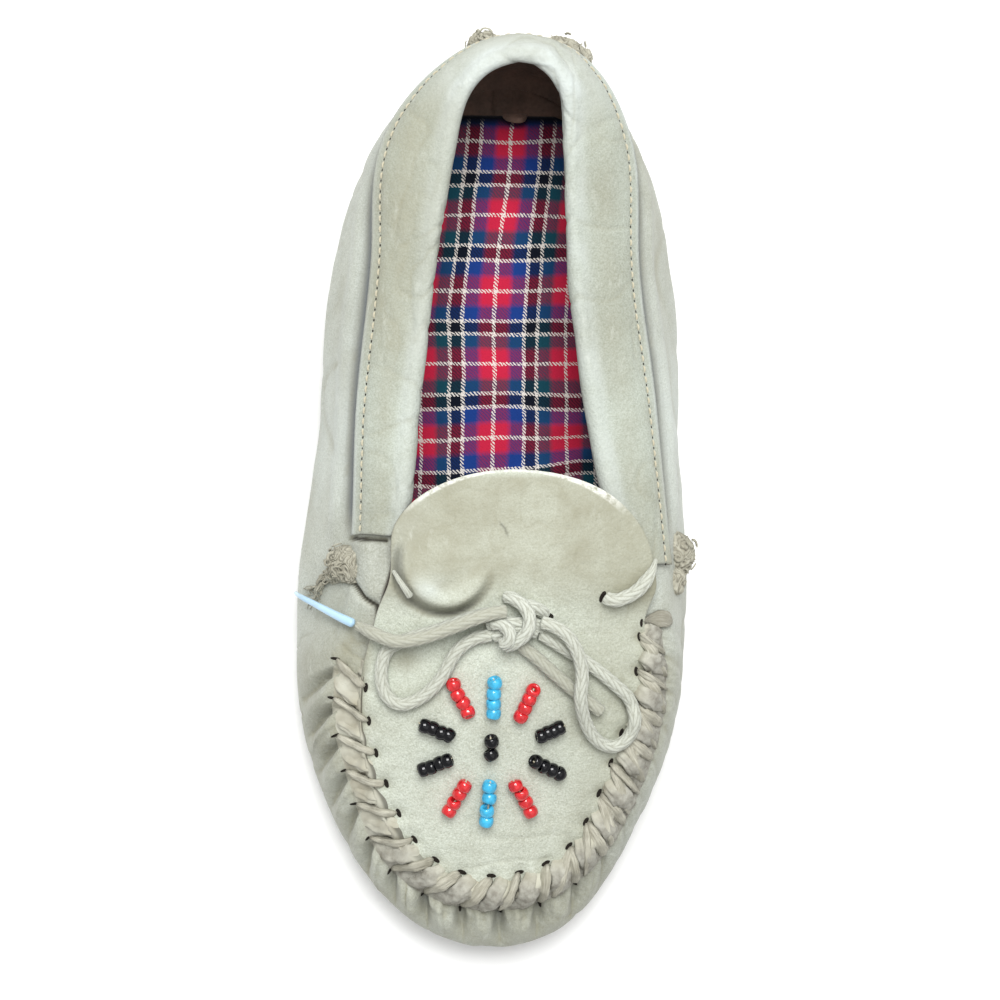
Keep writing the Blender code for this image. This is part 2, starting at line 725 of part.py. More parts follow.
def ridge_faces(count):
    """Faces of a ridge of count rows, split the same way below and above so that they never cross."""
    columns = len(RIDGE_UNDER) - 1
    size = 2 * columns
    faces = []
    for row in range(count - 1):
        base = row * size
        after = base + size
        for low in range(columns):
            high = low + 1
            faces.append((base + low, base + high, after + high))
            faces.append((base + low, after + high, after + low))
            top_low = (size - low) % size
            top_high = size - high
            faces.append((base + top_low, after + top_high, base + top_high))
            faces.append((base + top_low, after + top_low, after + top_high))
    for base in (0, (count - 1) * size):
        for low in range(columns):
            corners = (low, low + 1, size - low - 1, (size - low) % size)
            faces.append(tuple(base + corner for corner in dict.fromkeys(corners)))
    return faces


def settle(point, normal, surface, clearance):
    """Moves a point along the normal until it is a clearance above the pieces."""
    start = point + normal * 30
    hit = surface.tree.ray_cast(start, -normal)[0]
    base = hit if hit else point
    return base + normal * clearance


def build_toe_lacing(surface):
    """The whip-laced ridge over the joint of plug and wrapper."""
    path = []
    count = TOE_RIDGE.stitches * RIDGE_ROWS_PER_STITCH + 1
    sweep_outer = 180 + LACING_OUTER
    sweep_inner = 180 - LACING_INNER
    for step in range(count):
        turn = -sweep_outer + (sweep_outer + sweep_inner) * step / (count - 1)
        angle = 180 - abs(turn)
        angle = angle if turn >= 0 else -angle
        path.append(Spot(line_point(TOP_EDGE, angle), Vector((0, 0, 1))))
    return build_ridge("toe_lacing", even_spots(path, count), TOE_RIDGE, surface)


def even_spots(path, count):
    """The same path with its spots at even distances."""
    lengths = [0.0]
    for start, end in zip(path, path[1:]):
        lengths.append(lengths[-1] + (end.point - start.point).length)
    spots = []
    index = 0
    for step in range(count):
        target = lengths[-1] * step / (count - 1)
        while index < len(path) - 2 and lengths[index + 1] < target:
            index += 1
        share = (target - lengths[index]) / (lengths[index + 1] - lengths[index])
        point = path[index].point.lerp(path[index + 1].point, share)
        normal = path[index].normal.lerp(path[index + 1].normal, share).normalized()
        spots.append(Spot(point, normal))
    return spots


def build_heel_lacing(surface):
    """The raised U seam at the back of the heel."""
    count = HEEL_RIDGE.stitches * RIDGE_ROWS_PER_STITCH + 1
    path = []
    for step in range(count):
        share = 2 * step / (count - 1) - 1
        angle = HEEL_SEAM_CENTRE + HEEL_SEAM_HALF * math.sin(math.pi / 2 * share)
        hang = math.cos(math.pi / 2 * share) ** HEEL_SEAM_ROUNDING
        span = HEEL_SEAM_TOP - HEEL_SEAM_DROP * hang
        path.append(Spot(wrapper_point(angle, span), wrapper_normal(angle, span)))
    return build_ridge("heel_lacing", even_spots(path, count), HEEL_RIDGE, surface)


def build_knot(name, centre, long_axis, up, size, finish):
    """A knot as a lumpy flattened ball."""
    long, wide, tall = size
    side = up.cross(long_axis).normalized()
    rings = KNOT_RINGS
    sides = KNOT_SIDES
    points = [centre - up * tall / 2]
    for ring in range(1, rings):
        lift = -math.cos(math.pi * ring / rings)
        round_out = math.sin(math.pi * ring / rings)
        for step in range(sides):
            angle = math.tau * step / sides
            bump = 1 + KNOT_LUMP * math.cos(3 * angle + ring)
            point = centre + up * tall / 2 * lift
            point += long_axis * long / 2 * round_out * bump * math.cos(angle)
            point += side * wide / 2 * round_out * bump * math.sin(angle)
            points.append(point)
    points.append(centre + up * tall / 2)
    faces = []
    for step in range(sides):
        after = (step + 1) % sides
        faces.append((0, 1 + after, 1 + step))
        for ring in range(rings - 2):
            base = 1 + ring * sides
            faces.append((base + step, base + after, base + sides + after, base + sides + step))
        base = 1 + (rings - 2) * sides
        faces.append((base + step, base + after, len(points) - 1))
    return make_object(name, points, faces, finish)


def build_thong_knots():
    """The knots that end the toe and heel lacings."""
    for knot in THONG_KNOTS:
        normal = wrapper_normal(knot.angle, knot.span)
        along = wrapper_point(knot.angle + 2, knot.span) - wrapper_point(knot.angle - 2, knot.span)
        centre = wrapper_point(knot.angle, knot.span) + normal * (knot.tall / 2 + FIT_GAP)
        size = (knot.long, knot.wide, knot.tall)
        build_knot(knot.name, centre, along.normalized(), normal, size, THONG)


def build_beads(surface):
    """Each short row of beads, threaded on one stitch and set on the plug."""
    sides = BEAD_SIDES
    for row in BEAD_ROWS:
        inner = Vector((row.inner_x, row.inner_y, 0))
        outer = Vector((row.outer_x, row.outer_y, 0))
        flat = (outer - inner).normalized()
        pitch = (outer - inner).length / (row.count - 1)
        start = inner - flat * pitch / 2
        end = outer + flat * pitch / 2
        radius = BEAD_WIDTH / 2
        start.z = surface.around(start.x, start.y, radius * 0.7) + radius + FIT_GAP
        end.z = surface.around(end.x, end.y, radius * 0.7) + radius + FIT_GAP
        middle = surface.height((start.x + end.x) / 2, (start.y + end.y) / 2) + radius + FIT_GAP
        sag = max(0.0, middle - (start.z + end.z) / 2)
        start.z += sag
        end.z += sag
        axis = (end - start).normalized()
        side = axis.cross(Vector((0, 0, 1))).normalized()
        up = side.cross(axis)
        profile = [(0.0, BEAD_WAIST)]
        for bead in range(row.count):
            profile.append((bead + 0.3, 1.0))
            profile.append((bead + 0.7, 1.0))
            profile.append((bead + 1.0, BEAD_WAIST))
        length = (end - start).length / row.count
        points = []
        for place, share in profile:
            for step in range(sides):
                angle = math.tau * step / sides
                around = side * math.cos(angle) + up * math.sin(angle)
                points.append(start + axis * place * length + around * radius * share)
        faces = [tuple(range(sides))]
        for ring in range(len(profile) - 1):
            for step in range(sides):
                after = (step + 1) % sides
                base = ring * sides
                faces.append((base + step, base + after, base + sides + after, base + sides + step))
        faces.append(tuple(reversed(range(len(points) - sides, len(points)))))
        make_object(row.name, points, faces, BEAD_FINISH[row.colour])


def build_lace(surface):
    """The bow: bars through the throat, knot, loops, ends and aglet."""
    cords = (
        ("lace_bar_inner", LACE_BAR_INNER, LACE_WIDTH, COTTON_LACE),
        ("lace_bar_outer", LACE_BAR_OUTER, LACE_WIDTH, COTTON_LACE),
        ("lace_loop_outer", LACE_LOOP_OUTER, LACE_WIDTH, COTTON_LACE),
        ("lace_loop_inner", LACE_LOOP_INNER, LACE_WIDTH, COTTON_LACE),
        ("lace_end_outer", LACE_END_OUTER, LACE_WIDTH, COTTON_LACE),
        ("lace_end_inner", LACE_END_INNER, LACE_WIDTH, COTTON_LACE),
        ("lace_aglet", LACE_AGLET, AGLET_WIDTH, AGLET_BLUE),
    )
    for name, route, width, finish in cords:
        build_cord(name, route, width, surface, finish)
    rest = surface.around(LACE_KNOT_X, LACE_KNOT_Y, LACE_KNOT_WIDE / 3)
    centre = Vector((LACE_KNOT_X, LACE_KNOT_Y, rest + FIT_GAP + LACE_KNOT_TALL / 2))
    size = (LACE_KNOT_LONG, LACE_KNOT_WIDE, LACE_KNOT_TALL)
    build_knot("lace_knot", centre, Vector((0.1, 1, 0)).normalized(), Vector((0, 0, 1)), size, COTTON_LACE)


def main():
    """Builds the moccasin."""
    clear_scene()
    wrapper = build_wrapper()
    build_outsole()
    build_insole()
    collar = build_collar()
    plug = build_plug(Surface([wrapper, collar]))
    joint = Surface([wrapper, collar, plug])
    ridge = build_toe_lacing(joint)
    build_heel_lacing(joint)
    build_thong_knots()
    top = Surface([wrapper, collar, plug, ridge])
    build_beads(top)
    build_lace(top)


main()
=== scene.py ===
"""Looks of a beaded leather moccasin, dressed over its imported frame.

Frame: metres, +Z up. The toe points to -Y, the heel to +Y, and +X is the big toe side of this left
shoe. Every table and size below is in millimetres, and meshes are scaled as they are made.
"""

import logging
import math
from dataclasses import dataclass, field
from enum import Enum
from typing import Callable, NamedTuple, Optional, Sequence

import bmesh
import bpy
import numpy as np
from mathutils import Matrix, Vector
from mathutils.bvhtree import BVHTree


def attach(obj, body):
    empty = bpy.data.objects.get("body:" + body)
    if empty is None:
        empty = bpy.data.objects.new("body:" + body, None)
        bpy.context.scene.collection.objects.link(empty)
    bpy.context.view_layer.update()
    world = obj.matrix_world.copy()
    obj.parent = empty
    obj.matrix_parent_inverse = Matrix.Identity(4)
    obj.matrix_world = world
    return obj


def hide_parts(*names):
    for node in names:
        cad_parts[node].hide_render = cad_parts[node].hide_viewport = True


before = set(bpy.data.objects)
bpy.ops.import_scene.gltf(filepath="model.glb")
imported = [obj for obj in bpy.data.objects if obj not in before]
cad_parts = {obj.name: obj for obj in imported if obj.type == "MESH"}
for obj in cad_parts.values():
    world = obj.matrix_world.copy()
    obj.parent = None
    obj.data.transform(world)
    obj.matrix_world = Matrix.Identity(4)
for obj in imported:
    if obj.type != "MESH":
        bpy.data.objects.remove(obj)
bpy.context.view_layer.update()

LOG = logging.getLogger("moccasin")
Array = np.ndarray
Colour = tuple[float, float, float]
Row = tuple[float, ...]
Route = tuple[Row, ...]
Relief = Callable[[Array, Array], Array]
Piece = bpy.types.Object
Material = bpy.types.Material
Socket = bpy.types.NodeSocket
Random = np.random.Generator
MM = 0.001
FLAT = np.array([1.0, 1.0, 0.0])


# Curves and measures


def ease(value: Array, low: float, high: float) -> Array:
    """Goes smoothly from 0 at low to 1 at high."""
    t = np.clip((np.asarray(value, float) - low) / (high - low), 0.0, 1.0)
    return t * t * (3 - 2 * t)


def fall(value: Array, low: float, high: float) -> Array:
    """Goes smoothly from 1 at low to 0 at high."""
    return 1 - ease(value, low, high)


def bell(distance: Array, width: float, power: int = 2) -> Array:
    """1 at no distance, and hardly anything past the width."""
    return np.exp(-(np.abs(distance / width) ** power))


def bulge(points: Array, x: float, y: float, wide: float, long: float) -> Array:
    """1 at a place in plan, falling away to 0 around it."""
    return bell(points[..., 0] - x, wide) * bell(points[..., 1] - y, long)


def humps(phase: Array, power: float = 0.7) -> Array:
    """Even humps: 0 at whole numbers and 1 half way between them."""
    return np.abs(np.sin(math.pi * phase)) ** power


def curve(start: Array, start_slope: Array, end: Array, end_slope: Array, t: Array) -> Array:
    """A smooth curve between two values with their slopes, at t from 0 to 1."""
    rise = start * (2 * t**3 - 3 * t**2 + 1) + end * (3 * t**2 - 2 * t**3)
    return rise + start_slope * (t**3 - 2 * t**2 + t) + end_slope * (t**3 - t**2)


def read_row(values: Sequence[float], last: float, at: Array) -> Array:
    """Reads a row of evenly spaced values on a smooth curve through them.

    Args:
        values: The values, or points, the first of them at 0.
        last: The place of the last one.
        at: The places to read.

    Returns:
        The value, or point, at each place.
    """
    known = np.asarray(values, float)
    place = np.clip(np.asarray(at, float) / last, 0, 1) * (len(known) - 1)
    index = np.minimum(place.astype(int), len(known) - 2)
    t = (place - index).reshape(place.shape + (1,) * (known.ndim - 1))
    start, end = known[index], known[index + 1]
    before, after = known[np.maximum(index - 1, 0)], known[np.minimum(index + 2, len(known) - 1)]
    return curve(start, (end - before) / 2, end, (after - start) / 2, t)


def unit(vectors: Array) -> Array:
    """The same directions with length 1."""
    return vectors / np.maximum(np.linalg.norm(vectors, axis=-1, keepdims=True), 1e-9)


def point_of(x: Array, y: Array, z: Array) -> Array:
    """Points from their three coordinates, which may have different shapes."""
    return np.stack(np.broadcast_arrays(x, y, z), axis=-1).astype(float)


def quarter_turn(vectors: Array) -> Array:
    """Directions in plan, turned a quarter to the left."""
    return point_of(-vectors[..., 1], vectors[..., 0], 0.0)


def between(start: Array, end: Array, share: Array) -> Array:
    """Points on the straight way from start to end."""
    return start * (1 - share)[:, None] + end * share[:, None]


def turns(count: int) -> Array:
    """Even turns of a full circle."""
    return np.linspace(0, math.tau, count, endpoint=False)


def walked(points: Array) -> Array:
    """The distance walked to each point of a path."""
    steps = np.linalg.norm(np.diff(points, axis=0), axis=-1)
    return np.concatenate([np.zeros((1, *steps.shape[1:])), np.cumsum(steps, axis=0)])


def look_up(at: Array, places: Array, points: Array) -> Array:
    """Points read off a path whose own points lie at given places."""
    return np.stack([np.interp(at, places, column) for column in points.T], axis=-1)


def walk(points: Array, step: float) -> Array:
    """The same path with its points at even distances."""
    lengths = walked(points)
    count = max(3, int(round(lengths[-1] / step)) + 1)
    return look_up(np.linspace(0.0, lengths[-1], count), lengths, points)


def smooth_path(route: Sequence[Sequence[float]], step: float) -> Array:
    """Evenly spaced points on a smooth curve through a route's own points."""
    last = len(route) - 1
    return walk(read_row(route, last, np.linspace(0, last, 24 * last + 1)), step)


def smooth_line(values: Array, passes: int) -> Array:
    """A row of heights with its sharp steps eased."""
    for _ in range(passes):
        middle = (values[:-2] + 2 * values[1:-1] + values[2:]) / 4
        values = np.concatenate([values[:1], middle, values[-1:]])
    return values


def path_distance(points: Array, path: Route) -> Array:
    """Distance in plan to a line through a few places.

    Args:
        points: Places to measure from.
        path: The line's places.

    Returns:
        A distance for each point.
    """
    x, y = points[..., 0], points[..., 1]
    best = np.full(x.shape, np.inf)
    for start, end in zip(path, path[1:]):
        run, rise = end[0] - start[0], end[1] - start[1]
        share = ((x - start[0]) * run + (y - start[1]) * rise) / (run**2 + rise**2)
        share = np.clip(share, 0, 1)
        best = np.minimum(best, np.hypot(x - start[0] - share * run, y - start[1] - share * rise))
    return best


# The foot's lines


def floor_lift(y: Array) -> Array:
    """Height of the sole's underside: flat under the forefoot and the heel."""
    waist = 1.0 * ease(y, 14, 34) * fall(y, 36, 54)
    toe = 4.5 * np.maximum(0.0, (-76 - y) / 40) ** 2
    return waist + toe + 0.8 * ease(y, 104, 124)


@dataclass(frozen=True)
class Line:
    """A closed line round the foot, with a value every 20 degrees from the heel to the toe."""

    heel: float
    toe: float
    lift_share: float
    centre: Row
    reach: Row
    height: Row

    def along(self, angle: Array) -> Array:
        """The place in Y at an angle from the heel."""
        return (self.heel + self.toe) / 2 + (self.heel - self.toe) / 2 * np.cos(np.radians(angle))

    def angle_at(self, y: Array) -> Array:
        """The angle at a place in Y."""
        share = (2 * y - self.heel - self.toe) / (self.heel - self.toe)
        return np.degrees(np.arccos(np.clip(share, -1, 1)))

    def at(self, angle: Array) -> Array:
        """Points of the line.

        Args:
            angle: Degrees from the heel, negative on the outer side, at -X.

        Returns:
            A point for each angle.
        """
        turn = np.abs(np.asarray(angle, float))
        last = 20.0 * (len(self.reach) - 1)
        rows = (self.centre, self.reach, self.height)
        centre, reach, height = (read_row(row, last, turn) for row in rows)
        y = self.along(turn)
        x = centre + np.where(np.asarray(angle) >= 0, 1, -1) * reach * np.sin(np.radians(turn))
        return point_of(x, y, height + self.lift_share * floor_lift(y))


SOLE_TOP = 2.75
SOLE_EDGE = Line(
    heel=115.0, toe=-114.0, lift_share=1.0,
    centre=(4.0, 3.2, 2.5, 1.0, -0.7, -1.4, -1.7, -2.4, -1.7, -0.5),
    reach=(55.0, 56.0, 49.8, 43.4, 39.8, 45.3, 51.0, 53.4, 61.0, 61.5),
    height=(SOLE_TOP,) * 10,
)
WIDEST = Line(
    heel=123.0, toe=-122.4, lift_share=0.7,
    centre=(4.0, 4.0, 2.8, 2.0, 0.9, -0.6, -1.9, -2.6, -1.0, -0.2),
    reach=(54.0, 54.1, 58.4, 54.6, 49.9, 54.6, 59.3, 60.7, 63.9, 64.5),
    height=(17.0, 16.5, 15.0, 14.0, 13.5, 13.0, 12.5, 12.0, 12.0, 12.0),
)
SEAM = Line(
    heel=121.5, toe=-110.6, lift_share=0.7,
    centre=(3.9, 3.2, 0.6, 0.1, 0.4, 1.4, 1.5, -0.4, -0.8, -0.8),
    reach=(54.0, 53.5, 49.7, 39.8, 39.2, 42.0, 52.3, 58.4, 65.5, 66.5),
    height=(42.0, 41.5, 40.5, 39.5, 39.5, 41.0, 35.0, 27.5, 22.5, 20.5),
)
TOP_EDGE = Line(
    heel=116.3, toe=-106.5, lift_share=0.7,
    centre=(3.0, 1.7, -0.3, -1.5, -1.4, 0.5, -0.1, -1.0, -1.1, -0.6),
    reach=(39.5, 36.4, 26.4, 23.2, 25.1, 31.3, 44.6, 50.6, 57.3, 60.0),
    height=(55.8, 54.5, 50.7, 47.6, 46.3, 47.5, 39.8, 31.5, 26.5, 24.5),
)
TONGUE = Line(
    heel=8.6, toe=-106.5, lift_share=0.0,
    centre=(1.0, 1.5, 1.9, 3.6, 0.5),
    reach=(56.0, 54.5, 48.7, 40.2, 40.0),
    height=(52.2, 52.0, 51.0, 49.2, 43.6),
)

FIT_GAP = 0.35
WRAPPER_WALL = 1.6
WRAPPER_ROUNDING = 1.9
COLLAR_WALL = 1.3
COLLAR_GAP = 0.45
COLLAR_FROM_SPAN = 2.02
LACING_OUTER = -114.5
LACING_INNER = 109.8
TOP_SPAN = 3.0


class Foot:
    """The leather's surface, worked out from the four lines round the foot."""

    lines = (SOLE_EDGE, WIDEST, SEAM, TOP_EDGE)

    def surface(self, angle: Array, span: Array) -> Array:
        """The outer face of the leather.

        Args:
            angle: Degrees from the heel.
            span: 0 at the sole edge, 1 where it is widest, 2 at the seam and 3 at the top.

        Returns:
            A point for each angle and span.
        """
        angle, span = np.broadcast_arrays(np.asarray(angle, float), np.asarray(span, float))
        known = np.stack([line.at(angle) for line in self.lines])
        slopes = np.stack([
            (known[1] - known[0]) * FLAT * WRAPPER_ROUNDING,
            (known[2] - known[0]) / 2, (known[3] - known[1]) / 2, known[3] - known[2],
        ])
        index = np.clip(span.astype(int), 0, 2)
        start, start_slope, end, end_slope = (
            np.take_along_axis(rows, index[None, ..., None] + ahead, 0)[0]
            for ahead in (0, 1) for rows in (known, slopes)
        )
        return curve(start, start_slope, end, end_slope, (span - index)[..., None])

    def outward(self, angle: Array, span: Array) -> Array:
        """The outward direction of the outer face, at the same angles and spans."""
        along = self.surface(np.add(angle, 1), span) - self.surface(np.subtract(angle, 1), span)
        high, low = np.minimum(TOP_SPAN, np.add(span, 0.02)), np.maximum(0.0, np.subtract(span, 0.02))
        return unit(np.cross(self.surface(angle, high) - self.surface(angle, low), along))

    def off(self, angle: Array, span: Array, rise: Array) -> Array:
        """Points that stand off the outer face."""
        return self.surface(angle, span) + self.outward(angle, span) * rise

    def span_below_top(self, angle: Array, down: float) -> Array:
        """The span at a distance below the top edge, measured along the leather."""
        spans = np.linspace(TOP_SPAN, 1.5, 61)
        lengths = walked(self.surface(angle, spans[:, None]))
        return np.array([np.interp(down, column, spans) for column in lengths.T])


FOOT = Foot()


class Grain:
    """A smooth random field in space, the same on every run."""

    cells = 32

    def __init__(self, seed: int) -> None:
        """Draws the field's values from a seed."""
        self.values = np.random.default_rng(seed).uniform(-1.0, 1.0, (self.cells,) * 3)

    def at(self, points: Array, size: float) -> Array:
        """Reads the field.

        Args:
            points: Places in millimetres.
            size: The size of one swell in millimetres.

        Returns:
            Values from -1 to 1, one for each place.
        """
        place = points / size + 57.3
        low = np.floor(place).astype(int)
        part = ease(place - low, 0, 1)
        total = np.zeros(points.shape[:-1])
        for corner in np.ndindex(2, 2, 2):
            index = (low + corner) % self.cells
            weight = np.prod(np.where(np.equal(corner, 1), part, 1 - part), axis=-1)
            total += weight * self.values[index[..., 0], index[..., 1], index[..., 2]]
        return total

    def rough(self, points: Array, size: float, layers: int = 3) -> Array:
        """The field with smaller and smaller swells added."""
        return sum(self.at(points + 31.7 * k, size / 2**k) / 2**k for k in range(layers))

    def crease(self, points: Array, size: float, width: float) -> Array:
        """Lines that wander through space: 1 on a line and 0 away from it."""
        return bell(self.rough(points, size, 2), width)


LEATHER = Grain(11)
CREASES = Grain(23)
THONG = Grain(37)


# Meshes


@dataclass
class Patch:
    """Points, faces and readings per point that become one mesh."""

    points: Array
    faces: list[Array]
    readings: dict[str, Array] = field(default_factory=dict)
    spread: Optional[Array] = None

    def mark(self, **readings: Array) -> "Patch":
        """Sets readings from 0 to 1: one number, or one for each point or each front point."""
        for name, values in readings.items():
            self.readings[name] = np.resize(np.clip(values, 0, 1), len(self.points))
        return self

    def run(self) -> Array:
        """How far along a strand each point lies, from 0 to 1."""
        return self.spread[:, 0] / max(1e-6, self.spread[:, 0].max())

    def make(self, name: str, material: Material, slot: str = "", *replaced: str) -> Piece:
        """Makes the mesh object, riding on the frame.

        Args:
            name: The piece's name.
            material: Its material.
            slot: The name of one of the frame's material slots; not used.
            replaced: The frame's nodes that it stands for.

        Returns:
            The new object.
        """
        mesh = bpy.data.meshes.new(name)
        corners = np.concatenate([face.ravel() for face in self.faces]).astype(np.int32)
        sizes = np.concatenate([np.full(len(face), face.shape[1]) for face in self.faces])
        mesh.vertices.add(len(self.points))
        mesh.vertices.foreach_set("co", (self.points * MM).astype(np.float32).ravel())
        mesh.loops.add(len(corners))
        mesh.loops.foreach_set("vertex_index", corners)
        mesh.polygons.add(len(sizes))
        mesh.polygons.foreach_set("loop_start", (np.cumsum(sizes) - sizes).astype(np.int32))
        mesh.update(calc_edges=True)
        shape = bmesh.new()
        shape.from_mesh(mesh)
        bmesh.ops.recalc_face_normals(shape, faces=shape.faces)
        shape.to_mesh(mesh)
        shape.free()
        mesh.shade_smooth()
        for reading, values in self.readings.items():
            layer = mesh.attributes.new(reading, "FLOAT", "POINT")
            layer.data.foreach_set("value", values.astype(np.float32))
        if self.spread is not None:
            layer = mesh.attributes.new("spread", "FLOAT_VECTOR", "POINT")
            flat = point_of(*self.spread.T, 0.0).astype(np.float32)
            layer.data.foreach_set("vector", flat.ravel())
        mesh.materials.append(material)
        piece = bpy.data.objects.new(name, mesh)
        bpy.context.scene.collection.objects.link(piece)
        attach(piece, "root")
        if replaced:
            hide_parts(*replaced)
        return piece


def join(patches: Sequence[Patch]) -> Patch:
    """Joins patches, with a reading 0 where a patch hasn't got it.

    Args:
        patches: The patches.

    Returns:
        All of them as one.
    """
    starts = np.cumsum([0] + [len(patch.points) for patch in patches])
    faces = [face + start for patch, start in zip(patches, starts) for face in patch.faces]
    joined = Patch(np.concatenate([patch.points for patch in patches]), faces)
    for name in dict.fromkeys(name for patch in patches for name in patch.readings):
        values = [patch.readings.get(name, np.zeros(len(patch.points))) for patch in patches]
        joined.readings[name] = np.concatenate(values)
    if all(patch.spread is not None for patch in patches):
        joined.spread = np.concatenate([patch.spread for patch in patches])
    return joined


def grid_faces(rows: int, columns: int, wrap: bool = False) -> Array:
    """Four-cornered faces of a grid of points, closed across its columns if wrap is set."""
    row, column = np.meshgrid(np.arange(rows - 1), np.arange(columns - 1 + wrap), indexing="ij")
    low, after = row * columns, (column + 1) % columns
    high = low + columns
    return np.stack([low + column, low + after, high + after, high + column], -1).reshape(-1, 4)


def thick_sheet(front: Array, back: Array, wrap: bool = False) -> Patch:
    """A closed sheet from its front and back faces, given as rows of points.

    Args:
        front: Points of the front face, rows by columns.
        back: Points of the back face, in the same order.
        wrap: Whether the columns run all the way round.

    Returns:
        The sheet, with a reading "back" that is 1 on the back face.
    """
    rows, columns = front.shape[:2]
    count = rows * columns
    faces = grid_faces(rows, columns, wrap)
    index = np.arange(count).reshape(rows, columns)
    if wrap:
        edges = [np.append(edge, edge[0]) for edge in (index[0], index[-1][::-1])]
    else:
        edges = [np.concatenate([index[0], index[1:, -1], index[-1, -2::-1], index[-2::-1, 0]])]
    rims = [
        np.stack([edge[:-1], edge[1:], edge[1:] + count, edge[:-1] + count], -1) for edge in edges
    ]
    points = np.concatenate([front.reshape(-1, 3), back.reshape(-1, 3)])
    sheet = Patch(points, [faces, faces[:, ::-1] + count, *rims])
    return sheet.mark(back=np.repeat([0.0, 1.0], count))


def hollow(height: Array, passes: int, deep: float, wrap: bool = False) -> Array:
    """How far each place on a grid lies in a hollow: 0 in the open, 1 when it is deep enough.

    Args:
        height: Heights on a grid.
        passes: How wide the surroundings are, in rounds of averaging.
        deep: The depth that counts as 1.
        wrap: Whether the columns run all the way round.

    Returns:
        The reading, from 0 to 1.
    """
    around = height
    for turn in range(2 * passes):
        mode = "wrap" if wrap and turn % 2 else "edge"
        padded = np.pad(around, ((1, 1), (0, 0)), mode=mode)
        around = ((padded[:-2] + 2 * padded[1:-1] + padded[2:]) / 4).T
    return np.clip((around - height) / deep, 0, 1)


@dataclass
class Strand:
    """A cord, strand or thread that follows a path."""

    path: Array
    width: float
    thick: float
    sides: int = 12
    round_end: float = 0.5
    up: Row = (0.0, 0.0, 1.0)
    relief: Optional[Relief] = None
    swell: Optional[Array] = None

    def frame(self) -> tuple[Array, Array]:
        """The strand's sideways and upward directions, carried along without a twist."""
        along = unit(np.gradient(self.path, axis=0))
        side = np.empty_like(self.path)
        top = np.asarray(self.up, float)
        for row, ahead in enumerate(along):
            side[row] = unit(np.cross(top, ahead))
            top = np.cross(ahead, side[row])
        return side, np.cross(along, side)

    def patch(self) -> Patch:
        """Makes the strand's closed surface.

        Returns:
            The patch. Its spread holds the distance along it and round it, in millimetres.
        """
        side, top = self.frame()
        count = len(self.path)
        lengths = walked(self.path)
        ends = np.minimum(lengths, lengths[-1] - lengths)
        inside = np.clip(1 - ends / (self.round_end * self.width / 2), 0, 1)
        taper = np.sqrt(np.clip(1 - inside**2, 0.02, 1))
        if self.swell is not None:
            taper = taper * self.swell
        turn = turns(self.sides)
        radius = np.ones((count, self.sides))
        if self.relief is not None:
            radius = radius + self.relief(lengths[:, None], turn[None, :])
        radius = radius * taper[:, None]
        ring = side[:, None] * (np.cos(turn) * radius * self.width / 2)[..., None]
        ring = ring + top[:, None] * (np.sin(turn) * radius * self.thick / 2)[..., None]
        points = (self.path[:, None] + ring).reshape(-1, 3)
        first = np.arange(self.sides)
        last = first + (count - 1) * self.sides
        start, end = np.full(self.sides, len(points)), np.full(self.sides, len(points) + 1)
        caps = np.concatenate([
            np.stack([start, np.roll(first, -1), first], -1),
            np.stack([end, last, np.roll(last, -1)], -1),
        ])
        points = np.concatenate([points, self.path[:1], self.path[-1:]])
        round_it = np.tile(turn / math.tau * self.width * math.pi, count)
        spread = np.stack([np.repeat(lengths, self.sides), round_it], -1)
        spread = np.concatenate([spread, [[0.0, 0.0]], [[lengths[-1], 0.0]]])
        return Patch(points, [grid_faces(count, self.sides, True), caps], {}, spread)


class HeightMap:
    """How high the top faces of finished pieces stand, seen from above."""

    step = 0.75
    low = (-62.0, -130.0)
    count = (166, 348)

    def __init__(self, pieces: Sequence[Piece]) -> None:
        """Measures the pieces from above.

        Args:
            pieces: Finished pieces.
        """
        points: list[Vector] = []
        faces: list[list[int]] = []
        for piece in pieces:
            base = len(points)
            points += [vertex.co / MM for vertex in piece.data.vertices]
            faces += [[base + corner for corner in face.vertices] for face in piece.data.polygons]
        tree = BVHTree.FromPolygons(points, faces)
        self.heights = np.zeros(self.count)
        for i, j in np.ndindex(self.count):
            start = Vector((self.low[0] + i * self.step, self.low[1] + j * self.step, 200.0))
            hit = tree.ray_cast(start, Vector((0, 0, -1)))[0]
            self.heights[i, j] = hit.z if hit else 0.0

    def at(self, place: Array, radius: float = 0.0) -> Array:
        """The height of what lies under a place.

        Args:
            place: Points, of which X and Y are read.
            radius: How far around to look for the highest.

        Returns:
            A height for each point.
        """
        if radius > 0:
            around = [(radius * math.cos(turn), radius * math.sin(turn), 0) for turn in turns(8)]
            return np.max([self.at(place + shift) for shift in ((0, 0, 0), *around)], axis=0)
        i = np.clip((place[..., 0] - self.low[0]) / self.step, 0, self.count[0] - 1.001)
        j = np.clip((place[..., 1] - self.low[1]) / self.step, 0, self.count[1] - 1.001)
        a, b = i.astype(int), j.astype(int)
        u, v = i - a, j - b
        near = self.heights[a, b] * (1 - u) + self.heights[a + 1, b] * u
        return near * (1 - v) + (self.heights[a, b + 1] * (1 - u) + self.heights[a + 1, b + 1] * u) * v


# Finishes


def srgb(red: float, green: float, blue: float) -> Colour:
    """A colour given as it looks, from 0 to 255, as the light it gives back."""
    shares = [value / 255 for value in (red, green, blue)]
    return tuple(s / 12.92 if s <= 0.04045 else ((s + 0.055) / 1.055) ** 2.4 for s in shares)


